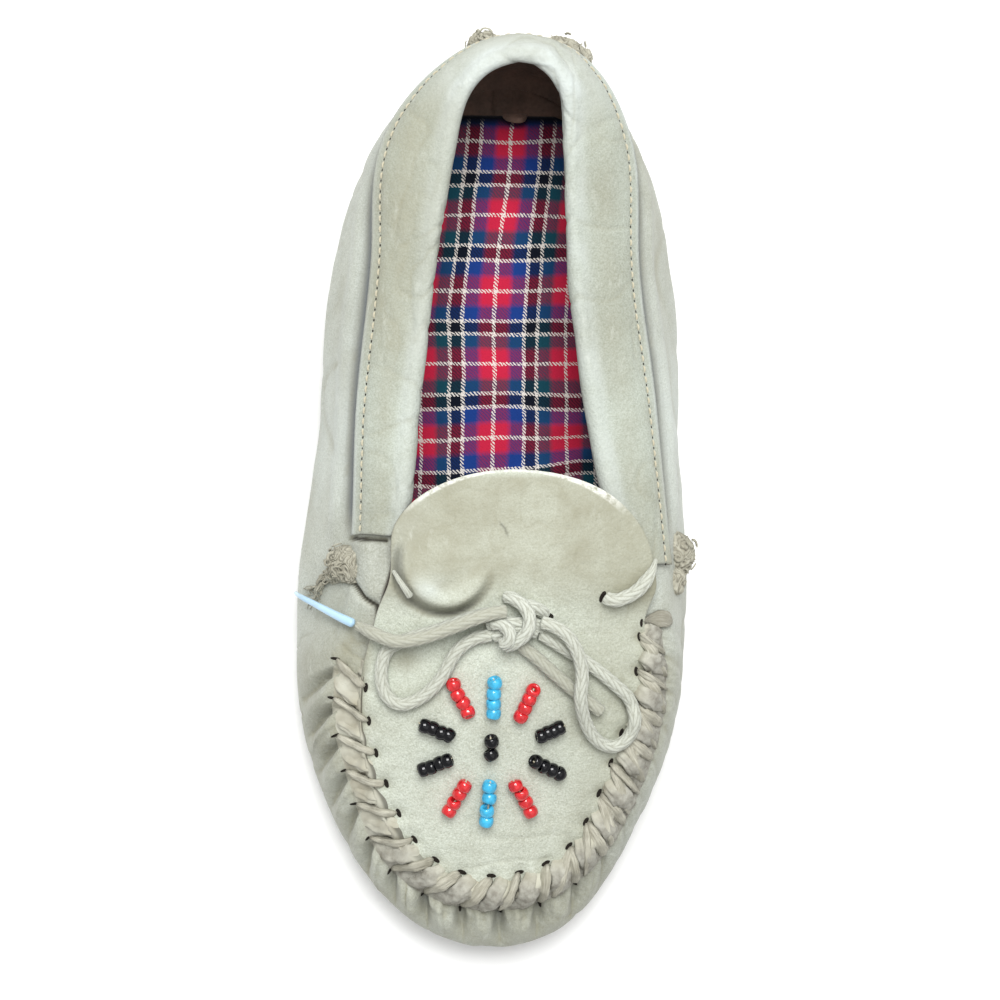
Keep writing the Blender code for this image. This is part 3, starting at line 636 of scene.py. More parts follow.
class Brush:
    """Short calls for laying out one material's nodes."""

    def __init__(self, name: str) -> None:
        """Starts a material."""
        self.material = bpy.data.materials.new(name)
        self.material.use_nodes = True
        self.tree = self.material.node_tree

    def feed(self, socket: Socket, value: object) -> None:
        """Links a socket, or sets it where the value is a number or a colour."""
        if isinstance(value, Socket):
            self.tree.links.new(value, socket)
        elif isinstance(value, tuple) and socket.type == "RGBA":
            socket.default_value = (*value, 1.0)
        else:
            socket.default_value = value

    def add(self, kind: str, output: object, inputs: dict, **settings: object) -> Socket:
        """Adds a node.

        Args:
            kind: The node's type.
            output: The name or number of the output that is wanted.
            inputs: A number, colour or socket for each input, by name or number.
            settings: The node's own settings.

        Returns:
            The output's socket.
        """
        node = self.tree.nodes.new("ShaderNode" + kind)
        for name, value in settings.items():
            setattr(node, name, value)
        for name, value in inputs.items():
            self.feed(node.inputs[name], value)
        return node.outputs[output]

    def place(self) -> Socket:
        """The place on the piece, in metres."""
        return self.add("TexCoord", "Object", {})

    def reading(self, name: str) -> Socket:
        """A reading stored on the mesh."""
        return self.add("Attribute", "Fac", {}, attribute_name=name)

    def spread(self) -> Socket:
        """The distances along and round a strand, in millimetres."""
        return self.add("Attribute", "Vector", {}, attribute_name="spread")

    def part(self, vector: Socket, axis: int) -> Socket:
        """One of a vector's three parts."""
        return self.add("SeparateXYZ", axis, {0: vector})

    def stretch(self, vector: Socket, scale: Row) -> Socket:
        """A place with each axis scaled."""
        return self.add("Mapping", "Vector", {"Vector": vector, "Scale": scale})

    def noise(
        self, vector: Socket, scale: float, detail: float = 3.0, rough: float = 0.55, out: str = "Fac"
    ) -> Socket:
        """Soft noise from 0 to 1."""
        inputs = {"Vector": vector, "Scale": scale, "Detail": detail, "Roughness": rough}
        return self.add("TexNoise", out, inputs)

    def cells(self, vector: Socket, scale: float) -> Socket:
        """Distance to the nearest of many scattered points."""
        return self.add("TexVoronoi", "Distance", {"Vector": vector, "Scale": scale})

    def ramp(self, factor: Socket, stops: Sequence[tuple], steps: bool = False) -> Socket:
        """Colours along a factor.

        Args:
            factor: What is read, from 0 to 1.
            stops: The place and colour of each stop.
            steps: Whether the colours change in plain steps.

        Returns:
            The colour.
        """
        colour = self.add("ValToRGB", "Color", {"Fac": factor})
        band = colour.node.color_ramp
        band.interpolation = "CONSTANT" if steps else "LINEAR"
        band.elements.remove(band.elements[-1])
        band.elements[0].position = stops[0][0]
        band.elements[0].color = (*stops[0][1], 1.0)
        for place, shade in stops[1:]:
            band.elements.new(place).color = (*shade, 1.0)
        return colour

    def level(self, factor: Socket, low: float, high: float) -> Socket:
        """Maps a factor so that low becomes 0 and high becomes 1."""
        return self.add("MapRange", "Result", {"Value": factor, "From Min": low, "From Max": high})

    def mix(self, factor: object, first: object, second: object, blend: str = "MIX") -> Socket:
        """Mixes two colours."""
        inputs = {0: factor, 6: first, 7: second}
        return self.add("Mix", 2, inputs, data_type="RGBA", blend_type=blend)

    def tint(
        self, colour: object, other: Colour, factor: Socket, low: float, high: float, most: float = 1.0
    ) -> Socket:
        """Mixes another colour into a colour.

        Args:
            colour: The colour so far.
            other: The colour that is mixed in.
            factor: Where it is mixed in.
            low: The factor at which it starts to show.
            high: The factor at which it shows most.
            most: How much of it shows there.

        Returns:
            The mixed colour.
        """
        share = self.level(factor, low, high)
        return self.mix(share if most == 1.0 else self.times(share, most), colour, other)

    def work(self, operation: str, first: object, second: object = 0.0, clamp: bool = False) -> Socket:
        """Arithmetic on two factors."""
        return self.add("Math", 0, {0: first, 1: second}, operation=operation, use_clamp=clamp)

    def times(self, first: object, second: object, clamp: bool = False) -> Socket:
        """Two factors multiplied."""
        return self.work("MULTIPLY", first, second, clamp)

    def plus(self, first: object, second: object, clamp: bool = False) -> Socket:
        """Two factors added."""
        return self.work("ADD", first, second, clamp)

    def bump(self, height: Socket, strength: float, deep: float, over: Optional[Socket] = None) -> Socket:
        """Relief from a height, in metres, added to relief made before."""
        inputs = {"Strength": strength, "Distance": deep, "Height": height}
        if over is not None:
            inputs["Normal"] = over
        return self.add("Bump", "Normal", inputs)

    def finish(self, colour: object, rough: object, normal: object = None, **more: float) -> Material:
        """Sets the shader's inputs and returns the material."""
        inputs = {"Base Color": colour, "Roughness": rough, **more}
        if normal is not None:
            inputs["Normal"] = normal
        shader = self.tree.nodes["Principled BSDF"]
        for name, value in inputs.items():
            self.feed(shader.inputs[name.replace("_", " ")], value)
        return self.material


@dataclass(frozen=True)
class LeatherFinish:
    """Soft smooth leather, worn and mottled, with painted shade in its creases, hollows and holes and a
    painted highlight on its lit rims, edges and bulges.
    """

    name: str
    light: Colour = srgb(196, 201, 193)
    dark: Colour = srgb(173, 176, 166)
    # Painted highlight: the pale bluish tone given to lit rims, edges and bulges.
    cool: Colour = srgb(196, 203, 199)
    # Partly real soil and mottle, partly painted shade in creases, hollows and under folds.
    soil: Colour = srgb(146, 144, 124)
    shade: Colour = srgb(108, 113, 114)
    # Near black: painted shade in holes, slits, creases and deep corners, and also the dark specks of the
    # suede.
    hole: Colour = srgb(30, 26, 20)
    suede: Colour = srgb(134, 106, 92)
    nap_dark: Colour = srgb(106, 90, 80)
    wear: Colour = srgb(216, 220, 211)
    raw: Colour = srgb(232, 233, 226)
    grain_dark: Colour = srgb(220, 220, 214)
    grain_light: Colour = (1.0, 1.0, 1.0)

    def make(self) -> Material:
        """Builds the material."""
        brush = Brush(self.name)
        place = brush.place()
        broad = brush.noise(place, 26.0, 3.0)
        mottle = brush.noise(place, 110.0, 4.0, 0.62)
        fine = brush.noise(place, 900.0, 3.0, 0.6)
        colour = brush.tint(self.light, self.dark, broad, 0.36, 0.66)
        colour = brush.tint(colour, self.soil, mottle, 0.5, 0.8, 0.25)
        colour = brush.tint(colour, self.soil, fine, 0.52, 0.8, 0.22)
        grain = brush.noise(place, 2300.0, 2.0, 0.7)
        grain = brush.tint(self.grain_dark, self.grain_light, grain, 0.34, 0.66)
        colour = brush.mix(1.0, colour, grain, "MULTIPLY")
        # Painted highlight, where the mesh's reading marks lit rims, edges and bulges.
        cool = brush.times(brush.reading("cool"), brush.level(mottle, 0.15, 0.6), True)
        colour = brush.mix(cool, colour, self.cool)
        # Taupe where the reading marks real soil and painted shade in creases, hollows and under folds.
        gate = brush.plus(brush.times(brush.level(mottle, 0.2, 0.65), 0.4), 0.5)
        colour = brush.mix(brush.times(brush.reading("soil"), gate, True), colour, self.soil)
        rubs = brush.noise(brush.stretch(place, (420.0, 150.0, 420.0)), 1.0, 4.0, 0.7)
        worn = brush.times(brush.level(broad, 0.42, 0.62), brush.level(rubs, 0.56, 0.72))
        colour = brush.mix(brush.times(worn, 0.32), colour, self.wear)
        raw = brush.times(brush.reading("raw"), brush.level(fine, 0.3, 0.6), True)
        colour = brush.mix(raw, colour, self.raw)
        colour = brush.mix(brush.reading("shade"), colour, self.shade)
        # Painted shade, near black where the hole reading marks holes, slits, creases and deep corners.
        colour = brush.mix(brush.reading("hole"), colour, self.hole)
        inside = brush.tint(self.suede, self.nap_dark, mottle, 0.3, 0.7)
        inside = brush.tint(inside, self.hole, fine, 0.4, 0.75, 0.25)
        colour = brush.mix(brush.reading("back"), colour, inside)
        normal = brush.bump(mottle, 0.34, 0.0012)
        normal = brush.bump(fine, 0.5, 0.0006, normal)
        normal = brush.bump(brush.cells(place, 1500.0), 0.3, 0.0002, normal)
        rough = brush.plus(brush.times(mottle, 0.25), 0.58)
        return brush.finish(colour, rough, normal, Specular_IOR_Level=0.28, Sheen_Weight=0.08)


@dataclass(frozen=True)
class ThongFinish:
    """Raw thong with fibres that run along it."""

    name: str
    light: Colour = srgb(196, 194, 179)
    dark: Colour = srgb(134, 130, 113)
    # Painted shade at the ends of strands, on tucked folds and between windings.
    hole: Colour = srgb(66, 61, 52)

    def make(self) -> Material:
        """Builds the material."""
        brush = Brush(self.name)
        fibres = brush.noise(brush.stretch(brush.spread(), (0.25, 1.9, 1.0)), 1.0, 4.0, 0.62)
        colour = brush.tint(self.light, self.dark, fibres, 0.36, 0.7, 0.72)
        patches = brush.noise(brush.place(), 160.0)
        colour = brush.tint(colour, self.dark, patches, 0.4, 0.75, 0.6)
        # Painted shade where the hole reading marks strand ends, tucked folds and gaps between windings.
        colour = brush.mix(brush.reading("hole"), colour, self.hole)
        normal = brush.bump(fibres, 0.8, 0.0007)
        return brush.finish(colour, 0.72, normal, Specular_IOR_Level=0.25)


@dataclass(frozen=True)
class LumpFinish:
    """The gathered edge of the leather between the thong's stitches: grey, partly its own tone and partly
    painted shade of its tucked folds, and near black as painted shade between its humps.
    """

    name: str
    light: Colour = srgb(172, 171, 160)
    dark: Colour = srgb(132, 129, 119)
    pale_light: Colour = srgb(196, 196, 181)
    pale_dark: Colour = srgb(158, 153, 134)
    # Painted shade between the humps and in the slits.
    hole: Colour = srgb(34, 30, 25)

    def make(self) -> Material:
        """Builds the material."""
        brush = Brush(self.name)
        place = brush.place()
        mottle = brush.noise(place, 420.0, 4.0, 0.65)
        colour = brush.tint(self.light, self.dark, mottle, 0.36, 0.66)
        pale = brush.tint(self.pale_light, self.pale_dark, brush.noise(place, 120.0), 0.35, 0.7)
        colour = brush.mix(brush.reading("pale"), colour, pale)
        # Painted shade where the hole reading marks crevices and slits.
        colour = brush.mix(brush.reading("hole"), colour, self.hole)
        normal = brush.bump(mottle, 0.45, 0.0006)
        return brush.finish(colour, 0.85, normal, Specular_IOR_Level=0.2)


@dataclass(frozen=True)
class LaceFinish:
    """Braided cotton, with painted shade in the grooves between its yarns and a darker tone, partly soil
    and partly painted shade, most on its ends.
    """

    name: str
    light: Colour = srgb(205, 209, 199)
    dark: Colour = srgb(162, 163, 148)
    # Painted shade in the grooves between the yarns.
    gap: Colour = srgb(130, 129, 114)
    # Partly soil and partly painted shade.
    soil: Colour = srgb(150, 148, 130)

    def make(self) -> Material:
        """Builds the material."""
        brush = Brush(self.name)
        fibres = brush.noise(brush.stretch(brush.spread(), (1.1, 3.4, 1.0)), 1.0, 2.0, 0.6)
        colour = brush.tint(self.light, self.dark, fibres, 0.4, 0.8, 0.55)
        # Painted shade where the gap reading marks the grooves between the yarns.
        colour = brush.mix(brush.times(brush.reading("gap"), 0.7), colour, self.gap)
        colour = brush.mix(brush.reading("soil"), colour, self.soil)
        colour = brush.mix(brush.times(brush.noise(brush.place(), 90.0), 0.35), colour, self.dark)
        normal = brush.bump(fibres, 0.5, 0.0003)
        return brush.finish(colour, 0.9, normal, Specular_IOR_Level=0.15, Sheen_Weight=0.2)


@dataclass(frozen=True)
class GlossFinish:
    """Glass bead or dipped tip: one colour with a clear gloss and faint flaws."""

    name: str
    colour: Colour
    rough: float = 0.12
    coat: float = 0.6
    shine: float = 0.5
    cloud: float = 700.0

    def make(self) -> Material:
        """Builds the material."""
        brush = Brush(self.name)
        cloud = brush.noise(brush.place(), self.cloud, 2.0)
        deep = tuple(part * 0.6 for part in self.colour)
        colour = brush.tint(self.colour, deep, cloud, 0.35, 0.75)
        rough = brush.plus(brush.times(cloud, 0.12), self.rough - 0.04)
        gloss = {"Coat Weight": self.coat, "Coat Roughness": 0.05, "Specular IOR Level": self.shine}
        return brush.finish(colour, rough, brush.bump(cloud, 0.15, 0.0003), **gloss)


@dataclass(frozen=True)
class TartanFinish:
    """Woven tartan cloth, with its sett charted across one half repeat.

    The sett is mirrored about its single white lines. Places along it are shares of the
    distance from one single line to the next.
    """

    name: str
    half_repeat: float = 20.4
    red: Colour = srgb(193, 36, 66)
    blue: Colour = srgb(26, 58, 128)
    teal: Colour = srgb(20, 68, 82)
    dark: Colour = srgb(12, 18, 30)
    white: Colour = srgb(228, 222, 214)
    twill: float = 0.96
    bleed: float = 0.7

    def stripes(self, brush: Brush, place: Socket) -> tuple[Socket, Socket]:
        """The stripes along one direction of the weave.

        Args:
            brush: The material being made.
            place: Distance along that direction, in millimetres.

        Returns:
            The ground's colour, and a factor that is 1 on a white line.
        """
        share = brush.work("PINGPONG", brush.work("DIVIDE", place, self.half_repeat), 1.0)
        sett = (
            (0.165, self.red), (0.235, self.blue), (0.385, self.blue), (0.445, self.dark),
            (0.57, self.dark), (0.63, self.teal), (0.765, self.teal), (0.83, self.red),
        )
        turns = (0.0, 0.024, 0.388, 0.438, 0.574, 0.624, 0.976)
        lines = [(turn, ((number + 1) % 2,) * 3) for number, turn in enumerate(turns)]
        return brush.ramp(share, sett), brush.ramp(share, lines, True)

    def make(self) -> Material:
        """Builds the material."""
        brush = Brush(self.name)
        bleed = brush.noise(brush.place(), 1100.0, 2.0, 0.5, "Color")
        across, along = (
            brush.plus(brush.part(brush.spread(), axis), brush.times(brush.part(bleed, axis), self.bleed))
            for axis in (0, 1)
        )
        warp, warp_line = self.stripes(brush, across)
        weft, weft_line = self.stripes(brush, along)
        diagonal = brush.work("FRACT", brush.work("DIVIDE", brush.plus(across, along), self.twill))
        over = brush.work("GREATER_THAN", diagonal, 0.5)
        under = brush.work("SUBTRACT", 1.0, over)
        deep = brush.mix(1.0, warp, weft, "MULTIPLY")
        deep = brush.add("Gamma", "Color", {"Color": deep, "Gamma": 0.5})
        ground = brush.mix(0.8, brush.mix(0.5, warp, weft), deep)
        ground = brush.mix(0.22, ground, brush.mix(over, weft, warp))
        line = brush.plus(brush.times(warp_line, over), brush.times(weft_line, under), True)
        fuzz = brush.noise(brush.place(), 2600.0, 2.0)
        line = brush.times(line, brush.level(fuzz, 0.25, 0.5), True)
        colour = brush.mix(line, ground, self.white)
        colour = brush.tint(colour, self.dark, fuzz, 0.5, 0.85, 0.25)
        # Painted shadow where the hole reading marks the insole's back end.
        colour = brush.mix(brush.reading("hole"), colour, self.dark)
        ribs = brush.work("PINGPONG", brush.plus(across, along), self.twill / 2)
        normal = brush.bump(fuzz, 0.3, 0.0003, brush.bump(ribs, 0.25, 0.00025))
        return brush.finish(colour, 0.92, normal, Specular_IOR_Level=0.12, Sheen_Weight=0.1)


@dataclass(frozen=True)
class SoleFinish:
    """Plain sole leather, scuffed."""

    name: str
    light: Colour = srgb(196, 186, 164)
    dark: Colour = srgb(140, 124, 100)

    def make(self) -> Material:
        """Builds the material."""
        brush = Brush(self.name)
        place = brush.place()
        scuffs = brush.noise(brush.stretch(place, (240.0, 60.0, 240.0)), 1.0, 4.0, 0.7)
        colour = brush.tint(self.light, self.dark, brush.noise(place, 40.0, 4.0), 0.35, 0.7)
        colour = brush.tint(colour, self.dark, scuffs, 0.5, 0.8)
        normal = brush.bump(scuffs, 0.4, 0.0006)
        return brush.finish(colour, 0.8, normal, Specular_IOR_Level=0.25)


@dataclass(frozen=True)
class FloorFinish:
    """A plain pale floor."""

    name: str = "floor_paper"

    def make(self) -> Material:
        """Builds the material."""
        brush = Brush(self.name)
        cloud = brush.noise(brush.place(), 3.0, 2.0)
        colour = brush.mix(cloud, (0.93, 0.93, 0.93), (0.96, 0.96, 0.955))
        return brush.finish(colour, 0.9, Specular_IOR_Level=0.1)


class Palette:
    """Every finish, made once."""

    def __init__(self) -> None:
        """Makes the finishes."""
        self.leather = LeatherFinish("leather").make()
        collar = LeatherFinish("collar_leather", light=srgb(183, 190, 180), dark=srgb(162, 166, 154))
        self.collar = collar.make()
        plug = LeatherFinish("plug_leather", light=srgb(208, 214, 202), dark=srgb(192, 196, 183))
        self.plug = plug.make()
        self.thong = ThongFinish("thong").make()
        knot = ThongFinish("knotted_thong", light=srgb(188, 186, 170), dark=srgb(126, 121, 104))
        self.knot = knot.make()
        self.lump = LumpFinish("gathered_edge").make()
        self.lace = LaceFinish("cotton_lace").make()
        self.thread = LaceFinish("thread", light=srgb(196, 190, 168), dark=srgb(160, 152, 128)).make()
        self.aglet = GlossFinish("aglet_blue", srgb(178, 212, 236), 0.35, 0.1, 0.4, 60.0).make()
        self.beads = {
            "red": GlossFinish("bead_red", srgb(214, 34, 40)).make(),
            "blue": GlossFinish("bead_blue", srgb(62, 182, 226), 0.2, 0.4).make(),
            "black": GlossFinish("bead_black", srgb(4, 4, 9), 0.07, 0.3, 0.3).make(),
        }
        self.tartan = TartanFinish("tartan").make()
        self.sole = SoleFinish("sole_leather").make()
        # A near black finish that paints the shade in the needle holes.
        self.dark = GlossFinish("painted_hole_shade", srgb(44, 40, 34), 0.9, 0.0).make()
        self.floor = FloorFinish().make()


# The toe seam's stitches


def from_toe(angle: Array) -> Array:
    """Turns degrees counted from the heel into degrees counted from the toe, and back."""
    return np.where(np.asarray(angle) >= 0, 1, -1) * (180 - np.abs(angle))


@dataclass
class ToeSeam:
    """Where the whip lacing round the toe passes through the leather.

    The two reaches are how far the holes lie inside and outside the seam, at even steps along it.
    """

    stitches: int = 19
    start: float = 0.76
    advance: float = 0.62
    inner_reach: Row = (0.6, 2.2, 3.6, 4.3, 5.0, 6.2, 5.4, 5.9, 6.2, 4.7, 0.9)
    outer_reach: Row = (7.0, 6.2, 5.2, 5.6, 4.6, 4.2, 4.2, 4.4, 4.6, 4.6, 4.6)

    def __post_init__(self) -> None:
        """Measures the seam along the wrapper's top edge."""
        self.sweep = np.linspace(from_toe(LACING_OUTER), from_toe(LACING_INNER), 721)
        self.path = TOP_EDGE.at(from_toe(self.sweep))
        lengths = walked(self.path)
        self.places = lengths / lengths[-1]

    def at(self, place: Array) -> tuple[Array, Array]:
        """The seam's point and its inward direction in plan, at a share of its length."""
        along = look_up(place, self.places, np.gradient(self.path, axis=0))
        return look_up(place, self.places, self.path), quarter_turn(unit(along * FLAT))

    def inner(self, place: Array) -> Array:
        """How far the plug's holes lie inside the seam."""
        return read_row(self.inner_reach, 1.0, place)

    def outer(self, place: Array) -> Array:
        """How far the wrapper's holes lie outside the seam."""
        return read_row(self.outer_reach, 1.0, place)

    def inner_hole(self, stitch: float) -> Array:
        """The plan place of a stitch's hole in the plug."""
        place = (stitch + self.start) / self.stitches
        point, inward = self.at(place)
        return point + inward * self.inner(place)

    def outer_hole(self, stitch: float, advance: Optional[float] = None) -> Array:
        """The plan place of a stitch's hole in the wrapper."""
        ahead = self.advance if advance is None else advance
        place = max(0.004, (stitch + self.start - ahead) / self.stitches)
        point, inward = self.at(place)
        return point - inward * self.outer(place)

    def share_at(self, angle: Array) -> Array:
        """The share of the seam's length at an angle round the foot."""
        return np.interp(from_toe(angle), self.sweep, self.places)


STITCHES = ToeSeam()


# Leather pieces


@dataclass
class Wrapper:
    """The wrapper: the soft leather that stands up all round the foot."""

    front_steps: int = 610
    rear_steps: int = 250
    rows: int = 78
    inner_rows: int = 14
    front_from: float = 92.0
    pillow: float = 3.2
    crease: float = 3.0
    groove: float = 1.6
    deepest: float = 1.35
    bunch: Route = ((-36.6, -11.5), (-35.6, -17.8), (-34.6, -23.0))
    hem: Route = ((-40.8, -20.6), (-37.6, -24.8), (-34.4, -27.0), (-34.2, -33.0))
    under_collar: Route = ((-41.0, -9.4), (-36.5, -9.6), (-32.0, -9.9))

    def angles(self) -> Array:
        """The angles of the grid, closer together round the toe."""
        rear = np.linspace(-self.front_from, self.front_from, self.rear_steps, endpoint=False)
        front = np.linspace(self.front_from, 360 - self.front_from, self.front_steps, endpoint=False)
        return np.concatenate([rear, np.where(front > 180, front - 360, front)])

    def phase(self, angle: Array, beyond: Array) -> Array:
        """Stitches counted along the seam, so that whole numbers are at the outer holes."""
        place = STITCHES.share_at(angle)
        slant = 0.018 * np.clip(beyond, 0, 16) * np.cos(math.pi * place)
        return place * STITCHES.stitches - STITCHES.start + STITCHES.advance - slant

    def beyond(self, angle: Array, points: Array) -> Array:
        """Distance below the outer holes, measured down the leather from its top edge."""
        return walked(points[::-1])[::-1] - 1.05 * STITCHES.outer(STITCHES.share_at(angle))

    def tongue_side(self, points: Array) -> tuple[Array, Array]:
        """The bunched edge beside the tongue on the outer side, and the creases round it.

        Args:
            points: Places on the wrapper.

        Returns:
            How far each place lies on the bunch, and in a crease, from 0 to 1.
        """
        upper = ease(points[..., 2], 24, 32)
        creases = bell(path_distance(points, self.hem), 0.8)
        creases += bell(path_distance(points, self.under_collar), 0.6)
        return bell(path_distance(points, self.bunch), 3.2) * upper, np.clip(creases, 0, 1) * upper

    def relief(self, angle: Array, span: Array, points: Array) -> tuple[Array, dict[str, Array]]:
        """How far the leather stands off its plain surface, and its readings.

        Args:
            angle: Degrees from the heel.
            span: Height on the leather, in spans.
            points: The plain surface's points.

        Returns:
            Distances outward in millimetres, and the readings for the finish: real soil with painted
            shade and a painted highlight.
        """
        x, y = points[..., 0], points[..., 1]
        front = ease(np.abs(angle), 103, 113)
        rise = ease(span, 0.1, 0.6) * (1 - ease(span, 1.9, 2.0) * (1 - front))
        lift = LEATHER.rough(points, 42.0, 2) * 0.8 * rise
        lift += LEATHER.rough(points + 400, 12.0, 2) * 0.25 * rise
        lift -= 0.4 * CREASES.crease(points * (1.0, 1.0, 0.6), 34.0, 0.055) * rise
        beyond = self.beyond(angle, points)
        phase = self.phase(angle, beyond)
        nearest = np.round(phase)
        uneven = 1 + 0.35 * LEATHER.at(point_of(nearest, nearest, nearest) * 7.7, 5.0)
        open_wall = ease(span, 1.0, 1.7) * (1 - 0.88 * ease(x, 5, 40))
        cut = bell((phase - nearest) * 9.5, 0.55 + 0.19 * np.clip(beyond, 0, 20))
        cut *= ease(beyond, -2.0, 0.0) * bell(np.clip(beyond, 0, None), 8.5) * uneven * open_wall
        puff = humps(phase) * ease(beyond, -2.5, 3.0) * open_wall
        lift += front * (self.pillow * puff * uneven - self.crease * cut - 0.5 * fall(beyond, 0, 8))
        pucker = np.sin(math.tau * phase * 3 + 3 * LEATHER.at(points, 7.0))
        toe = fall(y, -112, -92)
        lift += front * (0.14 + 0.34 * toe) * pucker * ease(beyond, -2, 1) * fall(beyond, 3, 9)
        lift += 0.35 * toe * LEATHER.rough(points * (1.0, 0.6, 0.6) + 610, 5.0, 2) * open_wall
        by_collar, off_edge = self.by_collar(angle, span, points)
        groove = by_collar * bell(off_edge - 0.9, 1.5) * bell(span - 1.84, 0.18)
        lift -= self.groove * groove
        lift += by_collar * 1.2 * bell(off_edge - 4.0, 1.8) * bell(span - 1.68, 0.16)
        creased = ease(LEATHER.rough(points + 820, 24.0, 2), -0.2, 0.5)
        lift -= 0.3 * creased * CREASES.crease(points * (1.0, 1.0, 0.5) + 91, 10.0, 0.08) * rise
        beside_tongue, hem = self.tongue_side(points)
        lift += 1.7 * beside_tongue - 2.0 * hem
        wall = ease(span, 0.6, 1.4)
        # Painted shade in the creases, hollows, beside the holes, low on the wall and on parts of the
        # wall at the toe and sides, with real mottled soil.
        soil = 1.0 * front * cut + 0.3 * fall(span, 0.2, 1.0)
        soil += 0.3 * ease(LEATHER.rough(points, 20.0), 0.1, 0.9)
        soil += 0.9 * hollow(lift, 10, 0.6, True) + 0.3 * front * fall(beyond, -1, 5)
        soil += wall * (0.42 * toe + 0.45 * front * ease(-x, 18, 44))
        soil += wall * 0.32 * ease(x, 16, 34) * ease(y, 50, 84)
        # Painted shade: a contact line just below the collar's edge.
        line = by_collar * bell(np.clip(off_edge - 0.4, 0, None), 1.7) * ease(span, 1.66, 1.88)
        # Painted shade, near black, in the slits at the outer holes and in the hem's creases.
        slit = np.maximum(front * ease(cut, 0.25, 0.7) * bell(beyond - 0.9, 1.7), ease(hem, 0.35, 0.9))
        readings = {
            "soil": soil,
            # Painted highlight: a pale bluish sheen on the wall below the collar.
            "cool": by_collar * ease(span, 0.6, 1.5) * (0.3 + 0.35 * LEATHER.at(points, 30.0)),
            "hole": 0.9 * slit,
            "shade": 0.25 * groove + 0.9 * line + 0.5 * np.clip(cut, 0, 1),
        }
        lift = np.where(lift < 0, -self.deepest * np.tanh(-lift / self.deepest), lift)
        return lift, readings

    def by_collar(self, angle: Array, span: Array, points: Array) -> tuple[Array, Array]:
        """Where the wrapper lies under the collar's edge.

        Args:
            angle: Degrees from the heel.
            span: Height on the leather, in spans.
            points: The plain surface's points.

        Returns:
            1 below the collar and 0 elsewhere, and each point's distance out from its face.
        """
        edge = FOOT.surface(angle, COLLAR_FROM_SPAN)
        out = unit(FOOT.outward(angle, COLLAR_FROM_SPAN)[..., :2])
        off_edge = np.sum((points - edge)[..., :2] * out, -1) - COLLAR_GAP - COLLAR_WALL
        return fall(np.abs(angle), 92, 98) * (span < COLLAR_FROM_SPAN), off_edge

    def build(self, palette: Palette) -> Piece:
        """Builds the dressed wrapper in place of the plain one.

        Args:
            palette: The finishes.

        Returns:
            The wrapper.
        """
        angle = self.angles()
        span = np.linspace(0, TOP_SPAN, self.rows)[:, None]
        plain = FOOT.surface(angle, span)
        lift, readings = self.relief(angle, span, plain)
        outer = FOOT.off(angle, span, lift[..., None])
        span = np.linspace(TOP_SPAN, 0, self.inner_rows)[:, None]
        inner = FOOT.off(angle, span, -WRAPPER_WALL)
        inner[-1] = plain[0] + (0, 0, WRAPPER_WALL)
        points = np.concatenate([outer, inner])
        patch = Patch(points.reshape(-1, 3), [grid_faces(*points.shape[:2], True)])
        unread = np.zeros(inner.shape[:2])
        for name, values in readings.items():
            patch.mark(**{name: np.concatenate([values, unread])})
        patch.mark(back=np.repeat([0.0, 1.0], [lift.size, unread.size]))
        whole = join([patch, self.floor(angle[::3])])
        return whole.make("wrapper", palette.leather, "leather", "upper")

    def floor(self, angle: Array) -> Patch:
        """The leather that passes under the foot."""
        shares = np.linspace(1.0, 0.002, 12)[:, None]
        low = FOOT.surface(angle, 0.0) * point_of(shares, 1, 1)
        low[..., 2] = SOLE_TOP + floor_lift(low[..., 1])
        return thick_sheet(low, low + (0, 0, WRAPPER_WALL), True).mark(back=1.0)


